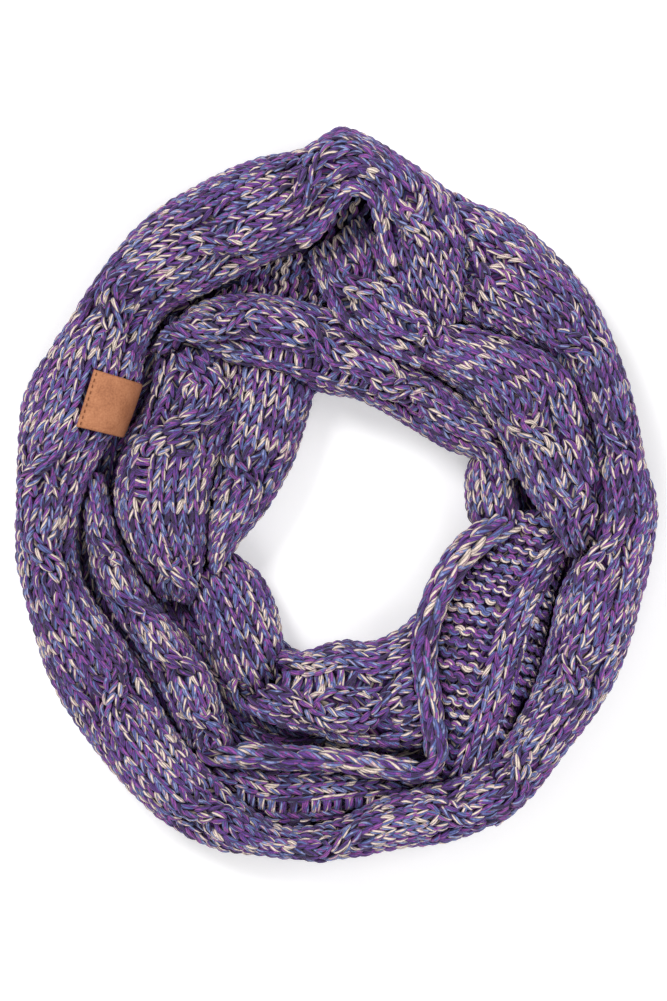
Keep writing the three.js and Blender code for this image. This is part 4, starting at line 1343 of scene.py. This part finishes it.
def label_stitches(top, normals, run):
    """The row of thread that sews the label on, in the groove along its far edge."""
    share = np.linspace(-1, 1, LEG_RINGS + 2)
    sunk = (0.15 - 0.3 * share**4)[:, None]
    last = len(top) - 1
    strands = []
    for middle in np.linspace(*THREAD_ENDS, THREAD_STITCHES):
        rows = np.clip((middle + share * THREAD_REACH) * last, 0, last)
        low = np.minimum(np.floor(rows).astype(int), last - 1)
        points, facing = [], []
        for row, up in zip(low, rows - low):
            column = int(np.interp(LABEL_SEAM, run[row], np.arange(run.shape[1])))
            points.append(top[row, column] * (1 - up) + top[row + 1, column] * up)
            facing.append(normals[row, column])
        points, facing = np.array(points), np.array(facing)
        strands.append((points + facing * sunk, facing, THREAD_RADIUS * np.sqrt(1.02 - share**2)))
    stacked = tuple(np.stack([strand[i] for strand in strands]) for i in range(3))
    unused = np.zeros(THREAD_STITCHES)
    return yarn_mesh("label_sewing", [(*stacked, unused, unused)])


# Building


def dress(piece, material):
    piece.data.materials.append(material)
    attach(piece, "root")


def build_label(yarn, grain):
    """The label and its sewing. It gives back a map of what the label covers."""
    label, top, normals, run, label_area = label_piece()
    dress(label, label_material(grain))
    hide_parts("label")
    sewing = label_stitches(top, normals, run)
    dress(sewing, thread_material(yarn))
    cover = Cover()
    cover.add(top)
    return cover


def build_stretch(name, cover, over, stitches, behind):
    """A stretch's cloth, the cords along its edges and its stitches.

    cover marks what lies over all of it, and over what lies over its stitches alone.
    """
    knitting = stretch_knitting(name)
    cloth, area, length = ground(f"{name}_cloth", knitting, cover)
    dress(cloth, behind)
    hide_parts(name)
    pieces, cords = [], []
    for cord, selvedge in SELVEDGES.items():
        if selvedge["edged"] == name:
            radius = selvedge["radius"]
            rolled = selvedge_face(STRETCHES[name], knitting.face, selvedge["line"], radius)
            chain = Knitting(rolled, size=selvedge["size"])
            pieces += stitch_pieces(cord, chain.yarn(chain.stitches(cover)))
            cords.append((rolled.even_points.mean(axis=1), radius))
    shown = knitting.stitches(cover)
    places = knitting.face.lookup(knitting.face.even_points, shown[1], shown[0])
    free = ~over.hides(places, 1)
    for line, radius in cords:
        free &= np.linalg.norm(places[:, None] - line, axis=2).min(axis=1) > CORD_CLEAR * radius
    pieces += stitch_pieces(name, knitting.yarn(tuple(values[free] for values in shown)))
    for piece in pieces:
        dress(piece, stitches)
    cover.add(knitting.face.even_points)


def build_hidden_layers(cover, stitches, below_material):
    """Stitches round the ring's rims and on its upper side, and a drawn knit on the node below them."""
    for name, rim in RIM_ROLLS.items():
        knitting = Knitting(rim_face(**rim), raised=LAID_ON)
        for piece in stitch_pieces(name, knitting.yarn(knitting.stitches(Cover()))):
            dress(piece, stitches)
    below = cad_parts["hidden_layers"]
    knitting = Knitting(hidden_top_face(below), raised=LAID_ON)
    for piece in stitch_pieces("hidden_layers", knitting.yarn(knitting.stitches(cover, 2))):
        dress(piece, stitches)
    below.data.materials.clear()
    below.data.materials.append(below_material)
    below.data.shade_smooth()


def build_scarf():
    yarn, grain = plied_yarn_group(), grain_group()
    stitches, knit = stitch_material(yarn, grain), drawn_knit_group(yarn)
    # painted shade: the cloth behind the stitches and the node below them are darker copies of the yarn
    behind = knit_behind_material("knit_behind", knit, grain, 0.42, "cloth")
    below = knit_behind_material("knit_below", knit, grain, 0.4)
    cover = Cover()
    label_cover = build_label(yarn, grain)
    for name in STRETCHES:
        over = label_cover if name == "outer_left" else Cover()
        build_stretch(name, cover, over, stitches, behind)
    build_hidden_layers(cover, stitches, below)


TABLE_HALF = 3.0
# The lamps: place, size and power
LIGHTS = {
    "light_far_left": ((-1.9, 2.1, 3.4), 1.4, 104),
    "light_right": ((2.6, 0.4, 2.9), 1.8, 50),
    "light_near": ((-0.3, -2.6, 3.2), 2.2, 44),
}
WORLD_LIGHT = 0.48
CAMERA_PLACE = (-0.0011, -0.0031, 3.0)
CAMERA_LENS = 190.5


def build_surroundings():
    """A pale table, soft studio light and a camera that looks straight down."""
    mesh = bpy.data.meshes.new("table")
    corners = [(x * TABLE_HALF, y * TABLE_HALF, 0) for x, y in ((-1, -1), (1, -1), (1, 1), (-1, 1))]
    mesh.from_pydata(corners, [], [(0, 1, 2, 3)])
    table = bpy.data.objects.new("table", mesh)
    bpy.context.scene.collection.objects.link(table)
    mesh.materials.append(floor_material())

    for name, (place, size, power) in LIGHTS.items():
        data = bpy.data.lights.new(name, "AREA")
        data.size, data.energy = size, power
        light = bpy.data.objects.new(name, data)
        light.location = place
        light.rotation_euler = Vector(-np.array(place)).to_track_quat("-Z", "Y").to_euler()
        bpy.context.scene.collection.objects.link(light)

    world = bpy.data.worlds.new("studio")
    world.use_nodes = True
    background = world.node_tree.nodes["Background"]
    background.inputs[0].default_value = (1, 1, 1, 1)
    background.inputs[1].default_value = WORLD_LIGHT
    bpy.context.scene.world = world

    camera = bpy.data.cameras.new("camera")
    camera.sensor_fit = "VERTICAL"
    camera.sensor_height = 36
    camera.lens = CAMERA_LENS
    camera.clip_end = 20
    seat = bpy.data.objects.new("camera", camera)
    seat.location = CAMERA_PLACE
    bpy.context.scene.collection.objects.link(seat)
    bpy.context.scene.camera = seat
    bpy.context.scene.view_settings.view_transform = "Standard"


build_scarf()
build_surroundings()
